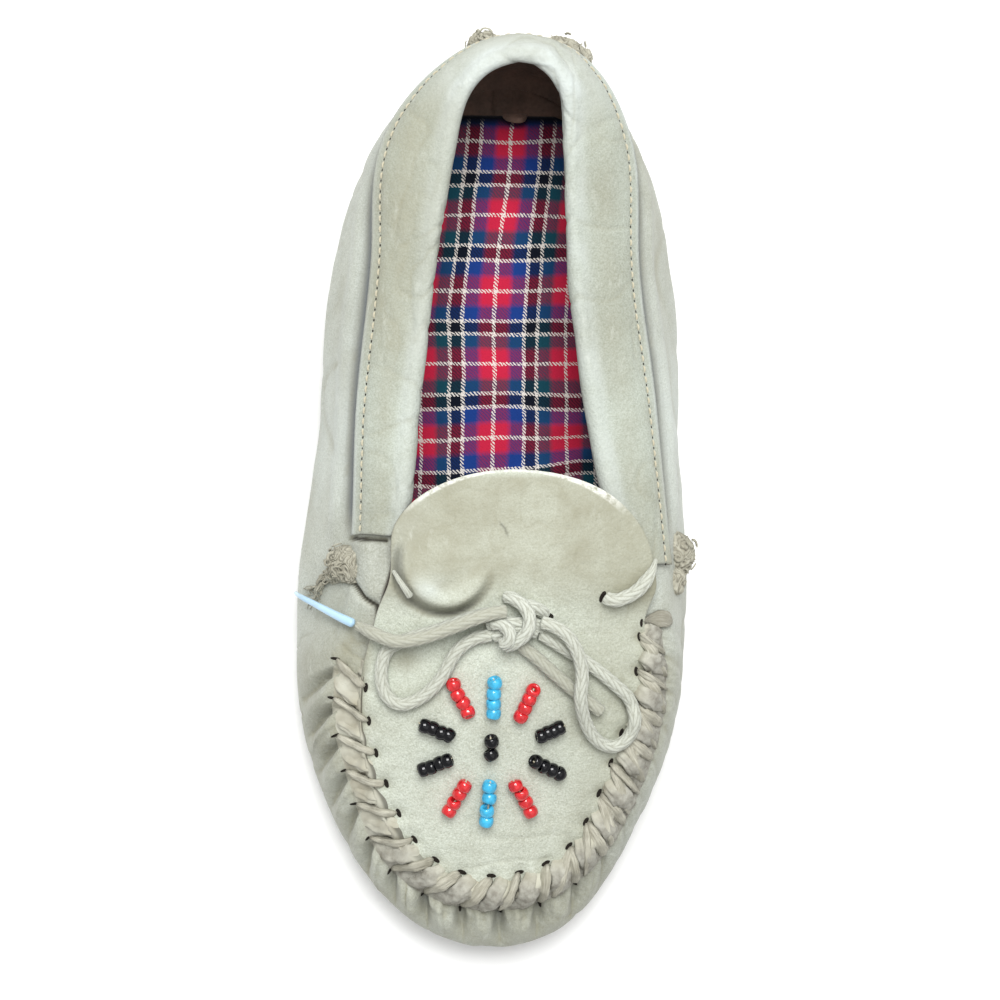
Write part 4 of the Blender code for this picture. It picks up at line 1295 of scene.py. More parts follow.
@dataclass
class Collar:
    """The folded band over the wrapper's top edge, with its row of stitches."""

    steps: int = 520
    ends: tuple[float, float] = (-97.0, 101.0)
    puff: float = 0.72
    turn_down: float = 11.0
    stitch_in: float = 3.2
    stitch_pitch: float = 2.8
    stitch_arch: Row = (-0.22, 0.10, 0.2, 0.2, 0.10, -0.22)
    outer_rows: int = 30
    cap_rows: int = 12
    inner_rows: int = 12

    def section(self, angle: Array, lift: float) -> Array:
        """Rows of points round the collar's section.

        Args:
            angle: Degrees from the heel.
            lift: Distance from the collar's inner face.

        Returns:
            Points, one row for each place round the section.
        """
        share = np.linspace(0, 1, self.outer_rows)[:, None]
        off = COLLAR_GAP + self.puff * np.sin(math.pi * share) ** 2 + lift
        span = COLLAR_FROM_SPAN + (TOP_SPAN - COLLAR_FROM_SPAN) * share
        outer = FOOT.off(angle, span, off[..., None])
        rim, normal = FOOT.surface(angle, TOP_SPAN), FOOT.outward(angle, TOP_SPAN)
        up = unit(rim - FOOT.surface(angle, TOP_SPAN - 0.05))
        half = WRAPPER_WALL / 2 + COLLAR_GAP + lift
        turn = np.radians(np.linspace(0, 180, self.cap_rows + 2)[1:-1])[:, None, None]
        cap = rim - normal * WRAPPER_WALL / 2 + (normal * np.cos(turn) + up * np.sin(turn)) * half
        downs = np.linspace(0, self.turn_down, self.inner_rows)
        span = np.stack([FOOT.span_below_top(angle, down) for down in downs])
        return np.concatenate([outer, cap, FOOT.off(angle, span, -WRAPPER_WALL - COLLAR_GAP - lift)])

    def build(self, palette: Palette) -> list[Piece]:
        """Builds the dressed collar.

        Args:
            palette: The finishes.

        Returns:
            The collar, its stitches, and dark spots that paint the shade in their needle holes.
        """
        angle = np.linspace(*self.ends, self.steps)
        back, front = self.section(angle, 0.0), self.section(angle, COLLAR_WALL)
        outward = unit(front - back)
        row = np.arange(len(front))[:, None] * np.ones(self.steps)
        top = ease(row, 1, 8) * fall(row, len(front) - 10, len(front) - 1)
        wave = LEATHER.rough(front + 90, 26.0, 2) * 0.5
        wave += LEATHER.rough(front * (1, 0.5, 1) + 170, 9.0, 2) * 0.2
        wave -= 0.3 * CREASES.crease(front + 50, 20.0, 0.06)
        fine = CREASES.crease(front * (1, 0.5, 1) + 250, 7.0, 0.12)
        wave -= 0.34 * fine * ease(LEATHER.rough(front + 310, 30.0, 2), -0.1, 0.5)
        down = walked(front)
        inset = self.stitch_in * (0.3 + 0.7 * ease(np.abs(angle), 9, 18))
        stitch = -0.35 * bell(down - inset, 0.9)
        front = front + outward * (wave * top + stitch)[..., None]
        patch = thick_sheet(front, back)
        x, y = front[..., 0], front[..., 1]
        level = row / self.outer_rows
        tucked = fall(self.ends[1] - angle, 0.2, 5.0)
        # Real mottled soil, darker on the outer side, with painted shade in a band along the roll, in
        # hollows and at the tucked end.
        soil = 0.3 * ease(LEATHER.rough(front * (1, 0.5, 1) + 210, 22.0, 3), 0.0, 0.9)
        soil += 0.4 * ease(-x, 0, 25) * ease(y, 10, 80) * fall(y, 98, 112)
        soil += 0.3 * bell(level - 0.55, 0.22) + 0.5 * hollow((wave + stitch) * top, 6, 0.4)
        soil += tucked * (0.35 + 0.5 * fall(down, 1.0, 4.0))
        # Painted highlight on the rim, the top at the heel and the lower edge, with paler patches.
        cool = 0.45 * ease(level, 0.72, 0.95)
        cool += 0.25 * ease(-LEATHER.rough(front + 120, 34.0, 2), 0.1, 0.8)
        cool += 0.7 * ease(y, 98, 114) * ease(level, 0.25, 0.6)
        cool += (1 - tucked) * 0.5 * fall(down, 0.5, 2.0)
        rim_row = self.outer_rows + self.cap_rows
        deep = ease(row, rim_row - 3, rim_row + 4)
        # Painted shade, near black, deep inside the heel on the inner side.
        patch.mark(
            back=np.maximum(patch.readings["back"], np.tile(0.95 * deep.ravel(), 2)),
            hole=0.75 * deep * ease(x, 4, 15) * ease(y, 92, 104),
            soil=soil, cool=cool,
        )
        collar = patch.make("folded_collar", palette.collar, "leather", "collar")
        return [collar, *self.sewing(palette, front, outward[3], inset)]

    def sewing(self, palette: Palette, front: Array, lifts: Array, inset: Array) -> list[Piece]:
        """The row of thread along the collar's lower edge.

        Args:
            palette: The finishes.
            front: The collar's face, in rows from its lower edge.
            lifts: The outward direction of each column.
            inset: The stitches' distance from the edge, which they near behind the heel.

        Returns:
            The stitches, and the needle holes between them.
        """
        down = walked(front)
        columns = range(self.steps)
        line = np.array([look_up(inset[i], down[:, i], front[:, i]) for i in columns])
        along = walked(line)
        threads, holes = [], []
        for stitch in range(int(along[-1] / self.stitch_pitch)):
            start = (stitch + 0.2) * self.stitch_pitch
            at = np.linspace(start, start + 0.68 * self.stitch_pitch, 6)
            lift = unit(look_up(at[2], along, lifts))
            path = look_up(at, along, line) + np.outer(self.stitch_arch, lift)
            threads.append(Strand(path, 0.58, 0.5, 8, 0.8, lift).patch())
            ahead = unit(path[-1] - path[0])
            # A dark spot that paints the shade in a needle hole.
            spot = path[-1] + ahead * 0.16 * self.stitch_pitch + lift * 0.16
            path = spot + np.outer(np.linspace(-0.42, 0.42, 5), ahead)
            holes.append(Strand(path, 0.7, 0.3, 8, 1.0, lift).patch())
        return [
            join(threads).make("collar_stitches", palette.thread, "leather"),
            join(holes).make("needle_hole_shade", palette.dark, "leather"),
        ]


@dataclass
class Plug:
    """The plug with its tongue."""

    rows: int = 230
    columns: int = 150
    wall: float = 1.8
    sewn_from: float = -34.0
    free_from: float = -21.0
    swell: Row = (0.8, 2.0, 3.6, 5.2, 4.2, 2.4, 0.8)
    scratch: Route = ((-2.8, -5.4), (-1.6, -6.6), (-1.1, -8.2))
    bend: Route = (
        (-30.4, -17.4), (-28.2, -20.9), (-24.2, -24.9), (-20.9, -27.2), (-16.9, -28.0),
        (-12.2, -26.9), (-6.5, -24.0),
    )

    def edge(self, turn: Array, side: int) -> Array:
        """The plug's outline on one side: turn 0 at the tongue's end, 180 at the toe."""
        y = TONGUE.along(turn)
        sewn = TOP_EDGE.at(side * np.maximum(TOP_EDGE.angle_at(y), 1e-3)) + (0, 0, FIT_GAP)
        return between(sewn, TONGUE.at(side * turn), ease(y, self.sewn_from, self.free_from))

    def build(self, palette: Palette, under: HeightMap) -> Piece:
        """Builds the dressed plug.

        Args:
            palette: The finishes.
            under: The pieces it lies on.

        Returns:
            The plug.
        """
        turn = np.linspace(0.6, 179.4, self.rows)
        share = np.linspace(0, 1, self.columns)[:, None]
        left, right = self.edge(turn, -1)[:, None], self.edge(turn, 1)[:, None]
        points = left * (1 - share) + right * share
        rest = under.at(points, 1.2) + 0.35
        swell = read_row(self.swell, 180.0, turn)[:, None] * (1 - (2 * share[:, 0] - 1) ** 2)
        level = np.maximum(points[..., 2] + swell, rest)
        for _ in range(30):
            around = level[:-2, 1:-1] + level[2:, 1:-1] + level[1:-1, :-2] + level[1:-1, 2:]
            level[1:-1, 1:-1] = around / 4
            level = np.maximum(level, rest)
        points[..., 2] = level
        lift = self.relief(points)
        front = points.copy()
        front[..., 2] += self.wall + lift
        points[..., 2] = np.minimum(level, front[..., 2] - self.wall / 2)
        patch = thick_sheet(front, points).mark(**self.readings(points, lift))
        return patch.make("beaded_plug", palette.plug, "leather", "plug_tongue")

    def relief(self, points: Array) -> Array:
        """Bulges, folds, fine creases and dimples.

        Args:
            points: Places on the plug.

        Returns:
            Heights in millimetres.
        """
        x, y = points[..., 0], points[..., 1]
        plan = points * FLAT
        lift = LEATHER.rough(points + 300, 24.0, 3) * 0.45
        lift += 2.6 * bulge(points, -20.0, -18.5, 9.0, 7.5)
        fold, within = self.fold(points)
        lift += fold * 3.2 * ease(within, -0.5, 1.7) * bell(np.clip(within, 0, None), 6.5)
        lift -= fold * 1.6 * bell(within + 0.8, 1.3)
        rays = np.cos(np.arctan2(y + 16.0, x + 17.0) * 26 + 1.2 * LEATHER.at(points + 70, 5.0)) ** 2
        rays = rays * (0.5 + 0.5 * LEATHER.at(plan + 77, 3.0))
        lift -= 0.5 * rays * fold * bell(within + 3.4, 2.6)
        lift += 0.35 * ease(y, 3.0, 9.0) * LEATHER.rough(points * (1.0, 0.5, 0.5) + 640, 3.0, 2)
        rings = CREASES.crease(plan * (0.4, 1.1, 1.0) + 130, 6.0, 0.16)
        lift -= 0.22 * rings * fall(y, -92, -78)
        lift -= 0.12 * CREASES.crease(points * (1.2, 1.0, 0.3) + 80, 9.0, 0.10)
        for hole in range(STITCHES.stitches):
            lift -= 0.9 * bulge(points, *STITCHES.inner_hole(hole)[:2], 2.2, 2.2)
            lift += 0.25 * bulge(points, *STITCHES.inner_hole(hole + 0.5)[:2], 2.6, 2.6)
        inside = ease(np.minimum(39.0 - np.abs(x), 8.6 - y), 0.0, 5.0)
        return lift * (0.35 + 0.65 * inside)

    def fold(self, points: Array) -> tuple[Array, Array]:
        """The bend where the tongue laps over the plug.

        Args:
            points: Places on the plug.

        Returns:
            How far each place belongs to the bend, and its distance inside it.
        """
        x, y = points[..., 0], points[..., 1]
        near = bell(path_distance(points, self.bend), 6.0, 4)
        ends = ease(x, -32.5, -29.5) * (1 - 0.9 * ease(x, -14.0, -3.0))
        return near * ends, 12.0 - np.hypot(x + 17.0, y + 16.0)

    def readings(self, points: Array, lift: Array) -> dict[str, Array]:
        """The readings for the finish.

        Args:
            points: Places on the plug.
            lift: The relief there.

        Returns:
            Real soil with painted shade, a painted highlight, raw edge, and near black for painted shade
            in the fold and beside the left edge and for a scratch.
        """
        x, y = points[..., 0], points[..., 1]
        tongue = ease(y, -32, -16)
        oval = np.hypot((x - 1.0) / 36.0, (y + 20.0) / 28.5)
        margin = bell(oval - 0.93, 0.16)
        fold, within = self.fold(points)
        left, right = x - x[:, :1], x[:, -1:] - x
        # Real soil on the tongue, with painted shade in hollows, under the fold, along the edges and on
        # the right, and lighter at the bulge's painted highlight.
        soil = tongue * (0.8 + 0.12 * ease(-x, 4, 22) + 0.1 * LEATHER.rough(points + 60, 15.0, 3))
        soil += 0.3 * tongue * margin + 0.8 * hollow(lift, 8, 0.5)
        soil += 0.9 * bulge(points, -27.5, -41.0, 4.5, 3.0) + 0.5 * ease(x, 8, 30)
        soil += 0.9 * fold * bell(within + 0.2, 1.8) - 0.5 * bulge(points, -21.0, -22.0, 4.0, 3.0)
        soil += 0.8 * (bell(left, 1.6) + 0.5 * bell(right, 1.6)) * ease(-y, 30, 40)
        soil -= 0.8 * ease(y, 5.6, 8.2)
        # Painted shade, near black, in the fold's crease and beside the left edge, and a real scratch.
        hole = fold * 0.6 * bell(within + 0.8, 0.5) * (0.5 + 0.5 * ease(x, -22, -16))
        hole += 0.3 * bell(left, 0.9) * ease(-y, 38, 44) * fall(-y, 66, 78)
        hole += 0.5 * bell(path_distance(points, self.scratch), 0.3)
        # Painted highlight on the bulge and along the tongue's left margin.
        cool = 0.7 * bulge(points, -22.0, -21.5, 5.0, 4.0) + 0.5 * tongue * margin * ease(-x, 16, 28)
        return {
            "soil": soil, "cool": cool, "hole": hole,
            "shade": 0.35 * fold * bell(within + 0.6, 1.4),
            "raw": 0.8 * ease(oval, 0.972, 0.99) * ease(y, -4, 3),
        }


# The thong


def thong_relief(shift: float) -> Relief:
    """Lengthwise folds of a twisted thong.

    Args:
        shift: Where the folds start.

    Returns:
        The relief of a strand.
    """

    def relief(along: Array, turn: Array) -> Array:
        """Relief as a share of the thong's half width."""
        fold = np.cos(3 * turn + 0.3 * along + shift) * 0.12
        fibre = 0.04 * np.cos(8 * turn - 0.5 * along + 2 * shift)
        return fold + fibre + 0.05 * np.cos(1.7 * along + shift)

    return relief


def leaf_relief(shift: float) -> Relief:
    """Puckers of a gathered fold of leather.

    Args:
        shift: Where the puckers start.

    Returns:
        The relief of a strand.
    """

    def relief(along: Array, turn: Array) -> Array:
        """Relief as a share of the fold's half width."""
        folds = 0.13 * np.cos(5 * turn + 0.7 * np.sin(0.9 * along + shift) + shift)
        fine = 0.07 * np.cos(11 * turn - 0.8 * along + 2 * shift)
        return folds + fine + 0.05 * np.cos(1.3 * along + shift)

    return relief


def slit(spot: Array, across: Array, under: HeightMap, wide: float, long: float) -> Patch:
    """A dark almond laid on the leather as painted shade, where a strand or lace goes in.

    Args:
        spot: Its centre.
        across: The direction of its short side.
        under: The leather it lies on.
        wide: Its short side.
        long: Its long side.

    Returns:
        A closed thin patch whose painted shade reads as a hole.
    """
    turn = turns(16)
    ring = np.outer(np.sin(turn) * wide / 2, across)
    ring += np.outer(np.cos(turn) * long / 2, quarter_turn(across))
    top = spot + ring * np.array([1.0, 0.7, 0.35, 0.02])[:, None, None]
    top[..., 2] = under.at(top) + 0.12
    # Painted shade, near black over the whole patch.
    return thick_sheet(top, top - (0, 0, 0.4), True).mark(hole=1.0)


@dataclass
class ToeLacing:
    """The whip lacing: thong stitches over the gathered edges of wrapper and plug."""

    height: float = 3.6
    strand_width: float = 3.2
    strand_thick: float = 1.7
    crossed_from: int = 11
    lace_slits: tuple[Route, ...] = (
        ((24.2, -24.5, 0.0), (0.9, -0.35, 0.0)),
        ((9.9, -29.2, 0.0), (0.35, 0.94, 0.0)),
    )
    first_route: Route = ((35.6, -31.3, 0.0), (38.4, -30.6, 0.6), (41.6, -30.7, 0.8), (44.6, -31.9, 0.0))

    def build(self, palette: Palette, under: HeightMap) -> list[Piece]:
        """Builds the lacing.

        Args:
            palette: The finishes.
            under: The leather below.

        Returns:
            The gathered edge, the thong, the folds, and the painted shade of the holes.
        """
        core = self.core(under).make("gathered_edge", palette.lump, "thong", "toe_lacing")
        self.level = HeightMap([core])
        folds, thong = self.stitches(under)
        folded = join(folds).make("gathered_folds", palette.lump, "thong")
        return [
            core, join(thong).make("toe_thong", palette.thong, "thong"), folded,
            join(self.holes(under)).make("lacing_hole_shade", palette.lump, "leather"),
        ]

    def core(self, under: HeightMap) -> Patch:
        """The ridge of gathered leather under the stitches.

        Args:
            under: The leather below.

        Returns:
            A closed patch.
        """
        seam = STITCHES
        place = np.linspace(0, 1, seam.stitches * 20 + 1)
        share = np.linspace(-1, 1, 33)
        centre, inward = seam.at(place)
        scallop = humps(place * seam.stitches - seam.start)
        inner = np.maximum(seam.inner(place) - 1.0 - 1.9 * (1 - scallop), 1.0)
        reach = np.where(share < 0, (seam.outer(place) + 0.3)[:, None], inner[:, None])
        offset = centre[:, None] + inward[:, None] * (share * reach)[..., None]
        place = place[:, None]
        base = under.at(offset, 0.3)
        phase = place * seam.stitches - seam.start + seam.advance * (1 - share) / 2
        number = np.floor(phase)
        uneven = 1 + 0.3 * THONG.at(point_of(number, number, number) * 5.3, 4.0)
        dome = np.clip(1 - np.abs(share) ** 2.2, 0, 1)
        height = self.height * (0.4 + 0.6 * ease(place, 0.2, 0.4))
        rise = height * (0.35 + 0.65 * humps(phase)) * uneven + THONG.rough(offset, 4.0, 2) * 0.4
        rise = dome * ease(np.minimum(place, 1 - place), 0.0, 0.03) * rise - 0.3
        straight = base[:, :1] * (1 - share) / 2 + base[:, -1:] * (1 + share) / 2
        level = np.maximum(base - 0.3, straight) * dome + base * (1 - dome)
        top = point_of(offset[..., 0], offset[..., 1], level + rise)
        bottom = point_of(offset[..., 0], offset[..., 1], np.minimum(base, top[..., 2]) - 0.8)
        shadow = 0.7 * ease(share, 0.2, 0.7) * fall(place, 0.28, 0.42)
        # Painted shade, near black, between the humps and along the inner side of the first stitches.
        return thick_sheet(top, bottom).mark(
            pale=np.maximum(ease(share, -0.1, 0.5), 0.8 * fall(place, 0.2, 0.34)),
            hole=np.maximum(ease(1 - humps(phase, 1), 0.8, 1.0) * 0.9, shadow),
        )

    def strand(
        self, start: Array, end: Array, under: HeightMap, rng: Random, width: float, low: float
    ) -> Patch:
        """One stitch of thong from the wrapper's hole over the seam to the plug's hole.

        Args:
            start: The hole in the wrapper.
            end: The hole in the plug.
            under: The leather below.
            rng: The source of its irregularity.
            width: The thong's width.
            low: How far it lies below the stitches on top.

        Returns:
            The stitch's patch.
        """
        share = np.linspace(0, 1, 30)
        path = between(start, end, share)
        side = unit(quarter_turn(end - start))
        path += np.outer(np.sin(math.pi * share) * rng.normal(0, 0.35), side)
        lift = np.maximum(self.level.at(path, 0.7), under.at(path)) + 0.35 - low
        sink = 1.6 * fall(np.minimum(share, 1 - share), 0.0, 0.10)
        path[:, 2] = smooth_line(lift, 6) - sink
        swell = (0.5 + 0.5 * ease(share, 0.0, 0.3)) * (0.72 + 0.28 * ease(1 - share, 0.0, 0.15))
        swell = swell * (1 + 0.08 * np.sin(share * rng.uniform(4, 9) + rng.uniform(0, 6)))
        relief = thong_relief(rng.uniform(0, 40))
        twist = unit(np.array([rng.normal(0, 0.25), rng.normal(0, 0.25), 1.0]))
        patch = Strand(path, width, self.strand_thick, 22, 0.2, twist, relief, swell).patch()
        # Painted shade at both ends, where the strand goes into the leather.
        return patch.mark(hole=0.7 * fall(np.minimum(patch.run(), 1 - patch.run()), 0.02, 0.14))

    def leaf(self, stitch: int, under: HeightMap, rng: Random) -> Patch:
        """One fold of the gathered edge, between two stitches of thong.

        Args:
            stitch: The stitch before it.
            under: The leather below.
            rng: The source of its irregularity.

        Returns:
            A closed patch.
        """
        share = np.linspace(0.0, 1.0, 32)
        start = STITCHES.outer_hole(stitch + 0.48)
        path = between(start, STITCHES.inner_hole(stitch + 0.5), share)
        level = smooth_line(np.maximum(self.level.at(path, 0.5), under.at(path)), 6)
        place = (stitch + 1) / STITCHES.stitches
        full = float(ease(place, 0.22, 0.42))
        sink = 0.5 + 1.2 * fall(np.minimum(share, 1 - share), 0.0, 0.2) + 0.5 * (1 - full)
        path[:, 2] = level - sink
        swell = (0.25 + 0.75 * np.sin(math.pi * 0.88 * share**0.85) ** 0.8) * rng.uniform(0.9, 1.12)
        relief = leaf_relief(rng.uniform(0, 40))
        width, thick = 4.6 + 0.8 * full, 1.5 + 1.3 * full
        patch = Strand(path, width, thick, 30, 0.3, relief=relief, swell=swell).patch()
        pale = 0.75 * fall(place, 0.24, 0.36) + 0.8 * ease(patch.run(), 0.62, 0.92)
        return patch.mark(pale=pale)

    def stitches(self, under: HeightMap) -> tuple[list[Patch], list[Patch]]:
        """Lays the visible stitches of thong.

        Args:
            under: The leather below.

        Returns:
            The folds of the gathered edge, and the thong.
        """
        folds, thong = [], []
        rng = np.random.default_rng(5)
        seam = STITCHES
        for stitch in range(seam.stitches):
            end = seam.inner_hole(stitch)
            folds.append(self.leaf(stitch, under, rng))
            if stitch >= self.crossed_from:
                start = seam.outer_hole(stitch, 1.3)
                thong.append(self.strand(start, end, under, rng, self.strand_width * 0.85, 0.5))
            width = self.strand_width * (0.66 + 0.34 * float(ease(stitch, 3, 8)))
            thong.append(self.strand(seam.outer_hole(stitch), end, under, rng, width, 0.0))
        return folds, [*thong, self.first_turn(under)]

    def first_turn(self, under: HeightMap) -> Patch:
        """The flat fold of thong that starts the lacing on the inner side."""
        path = smooth_path(self.first_route, 0.4)
        path[:, 2] += smooth_line(under.at(path, 0.8), 6)
        swell = 0.12 + 0.88 * np.sin(math.pi * np.linspace(0, 1, len(path)) ** 1.5) ** 0.8
        strand = Strand(path, 4.6, 1.3, 20, 0.2, relief=thong_relief(2.0), swell=swell)
        # A light painted shade over the whole fold.
        return strand.patch().mark(hole=0.3)

    def holes(self, under: HeightMap) -> list[Patch]:
        """Dark slits of painted shade where the thong and the lace enter the leather.

        Args:
            under: The leather below.

        Returns:
            A thin patch for each.
        """
        spots = np.array(self.lace_slits)
        patches = [slit(spot, unit(across), under, 1.5, 3.2) for spot, across in spots]
        across = np.array([1.0, 0.0, 0.0])
        patches.append(slit(np.array([35.2, -31.6, 0.0]), across, under, 1.0, 2.2))
        for stitch in range(STITCHES.stitches):
            toward = STITCHES.at((stitch + STITCHES.start) / STITCHES.stitches)[1]
            spot = STITCHES.inner_hole(stitch) + toward * 0.45
            patches.append(slit(spot, toward, under, 1.2, 2.6))
            if stitch <= self.crossed_from:
                across = unit(quarter_turn(toward) + 0.3 * toward * math.sin(2.0 * stitch))
                spot = STITCHES.outer_hole(stitch) - toward * 0.3
                long = 2.6 + 0.7 * math.sin(3.3 * stitch)
                patches.append(slit(spot, across, under, 0.8, long))
        return patches


@dataclass
class HeelLacing:
    """The raised U at the back of the heel, in the same thong."""

    half: float = 11.2
    centre: float = 1.9
    top: float = 1.58
    drop: float = 0.72
    stitches: int = 10
    width: float = 5.6
    height: float = 2.2

    def spot(self, share: Array) -> tuple[Array, Array]:
        """Point and outward direction on the seam, from -1 to 1 along it."""
        angle = self.centre + self.half * np.sin(math.pi / 2 * share)
        span = self.top - self.drop * np.abs(np.cos(math.pi / 2 * share)) ** 0.8
        return FOOT.surface(angle, span), FOOT.outward(angle, span)

    def build(self, palette: Palette) -> list[Piece]:
        """Builds the gathered edge and its stitches."""
        thong = join([self.stitch(number) for number in range(self.stitches + 1)])
        return [
            self.core().make("heel_gathered_edge", palette.lump, "thong", "heel_lacing"),
            thong.make("heel_thong", palette.thong, "thong"),
        ]

    def core(self) -> Patch:
        """The ridge of gathered leather under the stitches."""
        share = np.linspace(-1, 1, self.stitches * 14 + 1)
        side = np.linspace(-1, 1, 15)
        point, out = self.spot(share)
        across = unit(np.cross(out, unit(np.gradient(point, axis=0))))
        offset = point[:, None] + across[:, None] * (side * self.width / 2)[:, None]
        phase = (share[:, None] + 1) / 2 * self.stitches + 0.35 * side
        dome = np.clip(1 - np.abs(side) ** 2.2, 0, 1)
        gather = self.height * (0.5 + 0.5 * humps(phase, 0.5))
        rise = dome * (gather + THONG.rough(offset, 3.0, 2) * 0.25)
        front = offset + out[:, None] * (0.5 + rise)[..., None]
        patch = thick_sheet(front, offset - out[:, None] * 0.4)
        # Painted shade between the humps of gathered leather.
        return patch.mark(hole=ease(1 - humps(phase, 1), 0.8, 1.0) * 0.7)

    def stitch(self, number: int) -> Patch:
        """One stitch of thong over the ridge.

        Args:
            number: Its place along the seam.

        Returns:
            A closed patch.
        """
        at = np.clip(2 * (number / self.stitches) - 1, -0.98, 0.98)
        middle, lift = self.spot(np.array([at - 0.02, at, at + 0.02]))
        run = unit(middle[2] - middle[0])
        cross = unit(np.cross(lift[1], run))
        t = np.linspace(-1, 1, 15)[:, None]
        arch = 0.3 + (self.height + 0.6) * np.clip(1 - np.abs(t) ** 2.4, 0, 1)
        path = middle[1] + cross * t * self.width * 0.52 + run * t * 1.5 + lift[1] * arch
        return Strand(path, 2.1, 1.1, 12, 0.4, lift[1], thong_relief(number * 1.7)).patch()


class Lump(NamedTuple):
    """A rounded part of a knot: its shift along and out, its size, and how wound it looks."""

    along: float
    out: float
    long: float
    wide: float
    tall: float
    wound: float


@dataclass(frozen=True)
class ThongKnot:
    """A knot that ends a thong, made of its wound lumps, loose curls and frayed end.

    A tail's route holds degrees from the heel, spans and rises off the leather.
    """

    node: str
    angle: float
    span: float
    curls: int
    lumps: tuple[Lump, ...]
    tails: tuple[Route, ...] = ()

    def build(self, palette: Palette, seed: int) -> Piece:
        """Builds the knot as wound lumps with curls of thong over them.

        Args:
            palette: The finishes.
            seed: The start of its irregularity.

        Returns:
            The knot.
        """
        rng = np.random.default_rng(seed)
        base, normal = FOOT.surface(self.angle, self.span), FOOT.outward(self.angle, self.span)
        ahead, behind = (FOOT.surface(self.angle + turn, self.span) for turn in (2, -2))
        along = unit(ahead - behind)
        side = np.cross(normal, along)
        places = [
            (
                base + along * lump.along + side * lump.out,
                np.stack([along * lump.long / 2, side * lump.wide / 2, normal * lump.tall]),
            )
            for lump in self.lumps
        ]
        patches = [
            self.lump(*place, lump.wound, 13.0 * seed) for place, lump in zip(places, self.lumps)
        ]
        patches += [self.curl(rng, *places[0]) for _ in range(self.curls)]
        patches += [self.hair(rng, *places[0]) for _ in range(36)]
        patches += [fibre for route in self.tails for fibre in self.tail(route)]
        return join(patches).make(self.node + "_thong", palette.knot, "thong", self.node)

    def lump(self, middle: Array, axes: Array, wound: float, shift: float) -> Patch:
        """A dome of thong wound over itself.

        Args:
            middle: Its centre on the leather.
            axes: Its half length, half width and height, as three rows.
            wound: How deep the windings are, from 0 to 1.
            shift: Where its irregularity is read.

        Returns:
            A closed patch.
        """
        radius = np.linspace(1.0, 0.01, 44)[:, None]
        turn = turns(120)
        spot = point_of(radius * np.cos(turn), radius * np.sin(turn), (1 - radius**2) ** 0.55 - 0.15)
        points = middle + spot @ axes
        winding = np.abs(np.cos(13.0 * THONG.rough(points + shift, 3.6, 2))) ** 0.7
        lift = wound * (0.55 * winding - 0.3) + 0.35 * THONG.rough(points, 1.8, 2)
        front = points + unit(spot @ axes) * lift[..., None]
        patch = thick_sheet(front, middle + (spot * FLAT - (0.0, 0.0, 0.3)) @ axes, True)
        across = spot[..., :2] * np.linalg.norm(axes, axis=1)[:2]
        patch.spread = np.tile(across.reshape(-1, 2), (2, 1))
        # Painted shade in the grooves between the windings.
        return patch.mark(hole=wound * 0.85 * (1 - winding) ** 1.5)

    def curl(self, rng: Random, middle: Array, axes: Array) -> Patch:
        """A curl of thong over a lump.

        Args:
            rng: The source of its irregularity.
            middle: The lump's centre.
            axes: The lump's axes.

        Returns:
            A closed patch.
        """
        lean = rng.uniform(0, math.tau)
        rise = rng.uniform(0.1, 1.0)
        flat = math.sqrt(1 - rise**2)
        spot = np.array([flat * math.cos(lean), flat * math.sin(lean), rise]) @ axes
        out = unit(spot)
        first = unit(np.cross(out, rng.normal(0, 1, 3)))
        radius = rng.uniform(0.7, 1.6)
        sweep = np.linspace(0, rng.uniform(1.8, 3.8), 12)[:, None]
        lift = 0.3 + 0.35 * np.sin(sweep / sweep[-1] * math.pi) - 0.16 * radius
        path = radius * (np.cos(sweep) * first + np.sin(sweep) * np.cross(out, first))
        path += middle + spot + out * lift
        relief = thong_relief(rng.uniform(0, 30))
        width = rng.uniform(0.45, 0.85)
        return Strand(path, width, width * 0.7, 8, 0.5, out, relief).patch()

    def hair(self, rng: Random, middle: Array, axes: Array) -> Patch:
        """A loose fibre that stands off the knot.

        Args:
            rng: The source of its irregularity.
            middle: The lump's centre.
            axes: The lump's axes.

        Returns:
            A closed patch.
        """
        normal = unit(axes[2])
        lean = rng.uniform(0, math.tau)
        run = axes[0] * math.cos(lean) + axes[1] * math.sin(lean)
        start = middle + run * rng.uniform(0.4, 0.85) + axes[2] * rng.uniform(0.1, 0.45)
        curl = unit(run) * rng.uniform(0.3, 1.0) + normal * rng.uniform(0.1, 0.5)
        swirl = np.cross(normal, unit(run)) * rng.uniform(-1.0, 1.0)
        t = np.linspace(0, 1, 7)[:, None]
        path = start + curl * t + swirl * t**2
        return Strand(path, rng.uniform(0.2, 0.4), 0.25, 5, 0.3, normal).patch()

    def tail(self, route: Route) -> list[Patch]:
        """A frayed end of thong, thinning out over the leather.

        Args:
            route: Where it lies.

        Returns:
            Its wavy fibres.
        """
        path = smooth_path([FOOT.off(*place) for place in route], 0.4)
        swell = np.linspace(1.0, 0.4, len(path))
        fibres = []
        for number in range(6):
            shifts = [19.0 * number + 50.0 * axis for axis in range(3)]
            drift = np.stack([THONG.rough(path + shift, 2.6, 2) for shift in shifts], -1)
            wavy = path + drift * (1.5, 1.5, 0.4)
            fibres.append(Strand(wavy, 0.5 + 0.1 * number, 0.5, 8, 0.6, swell=swell).patch())
        return fibres


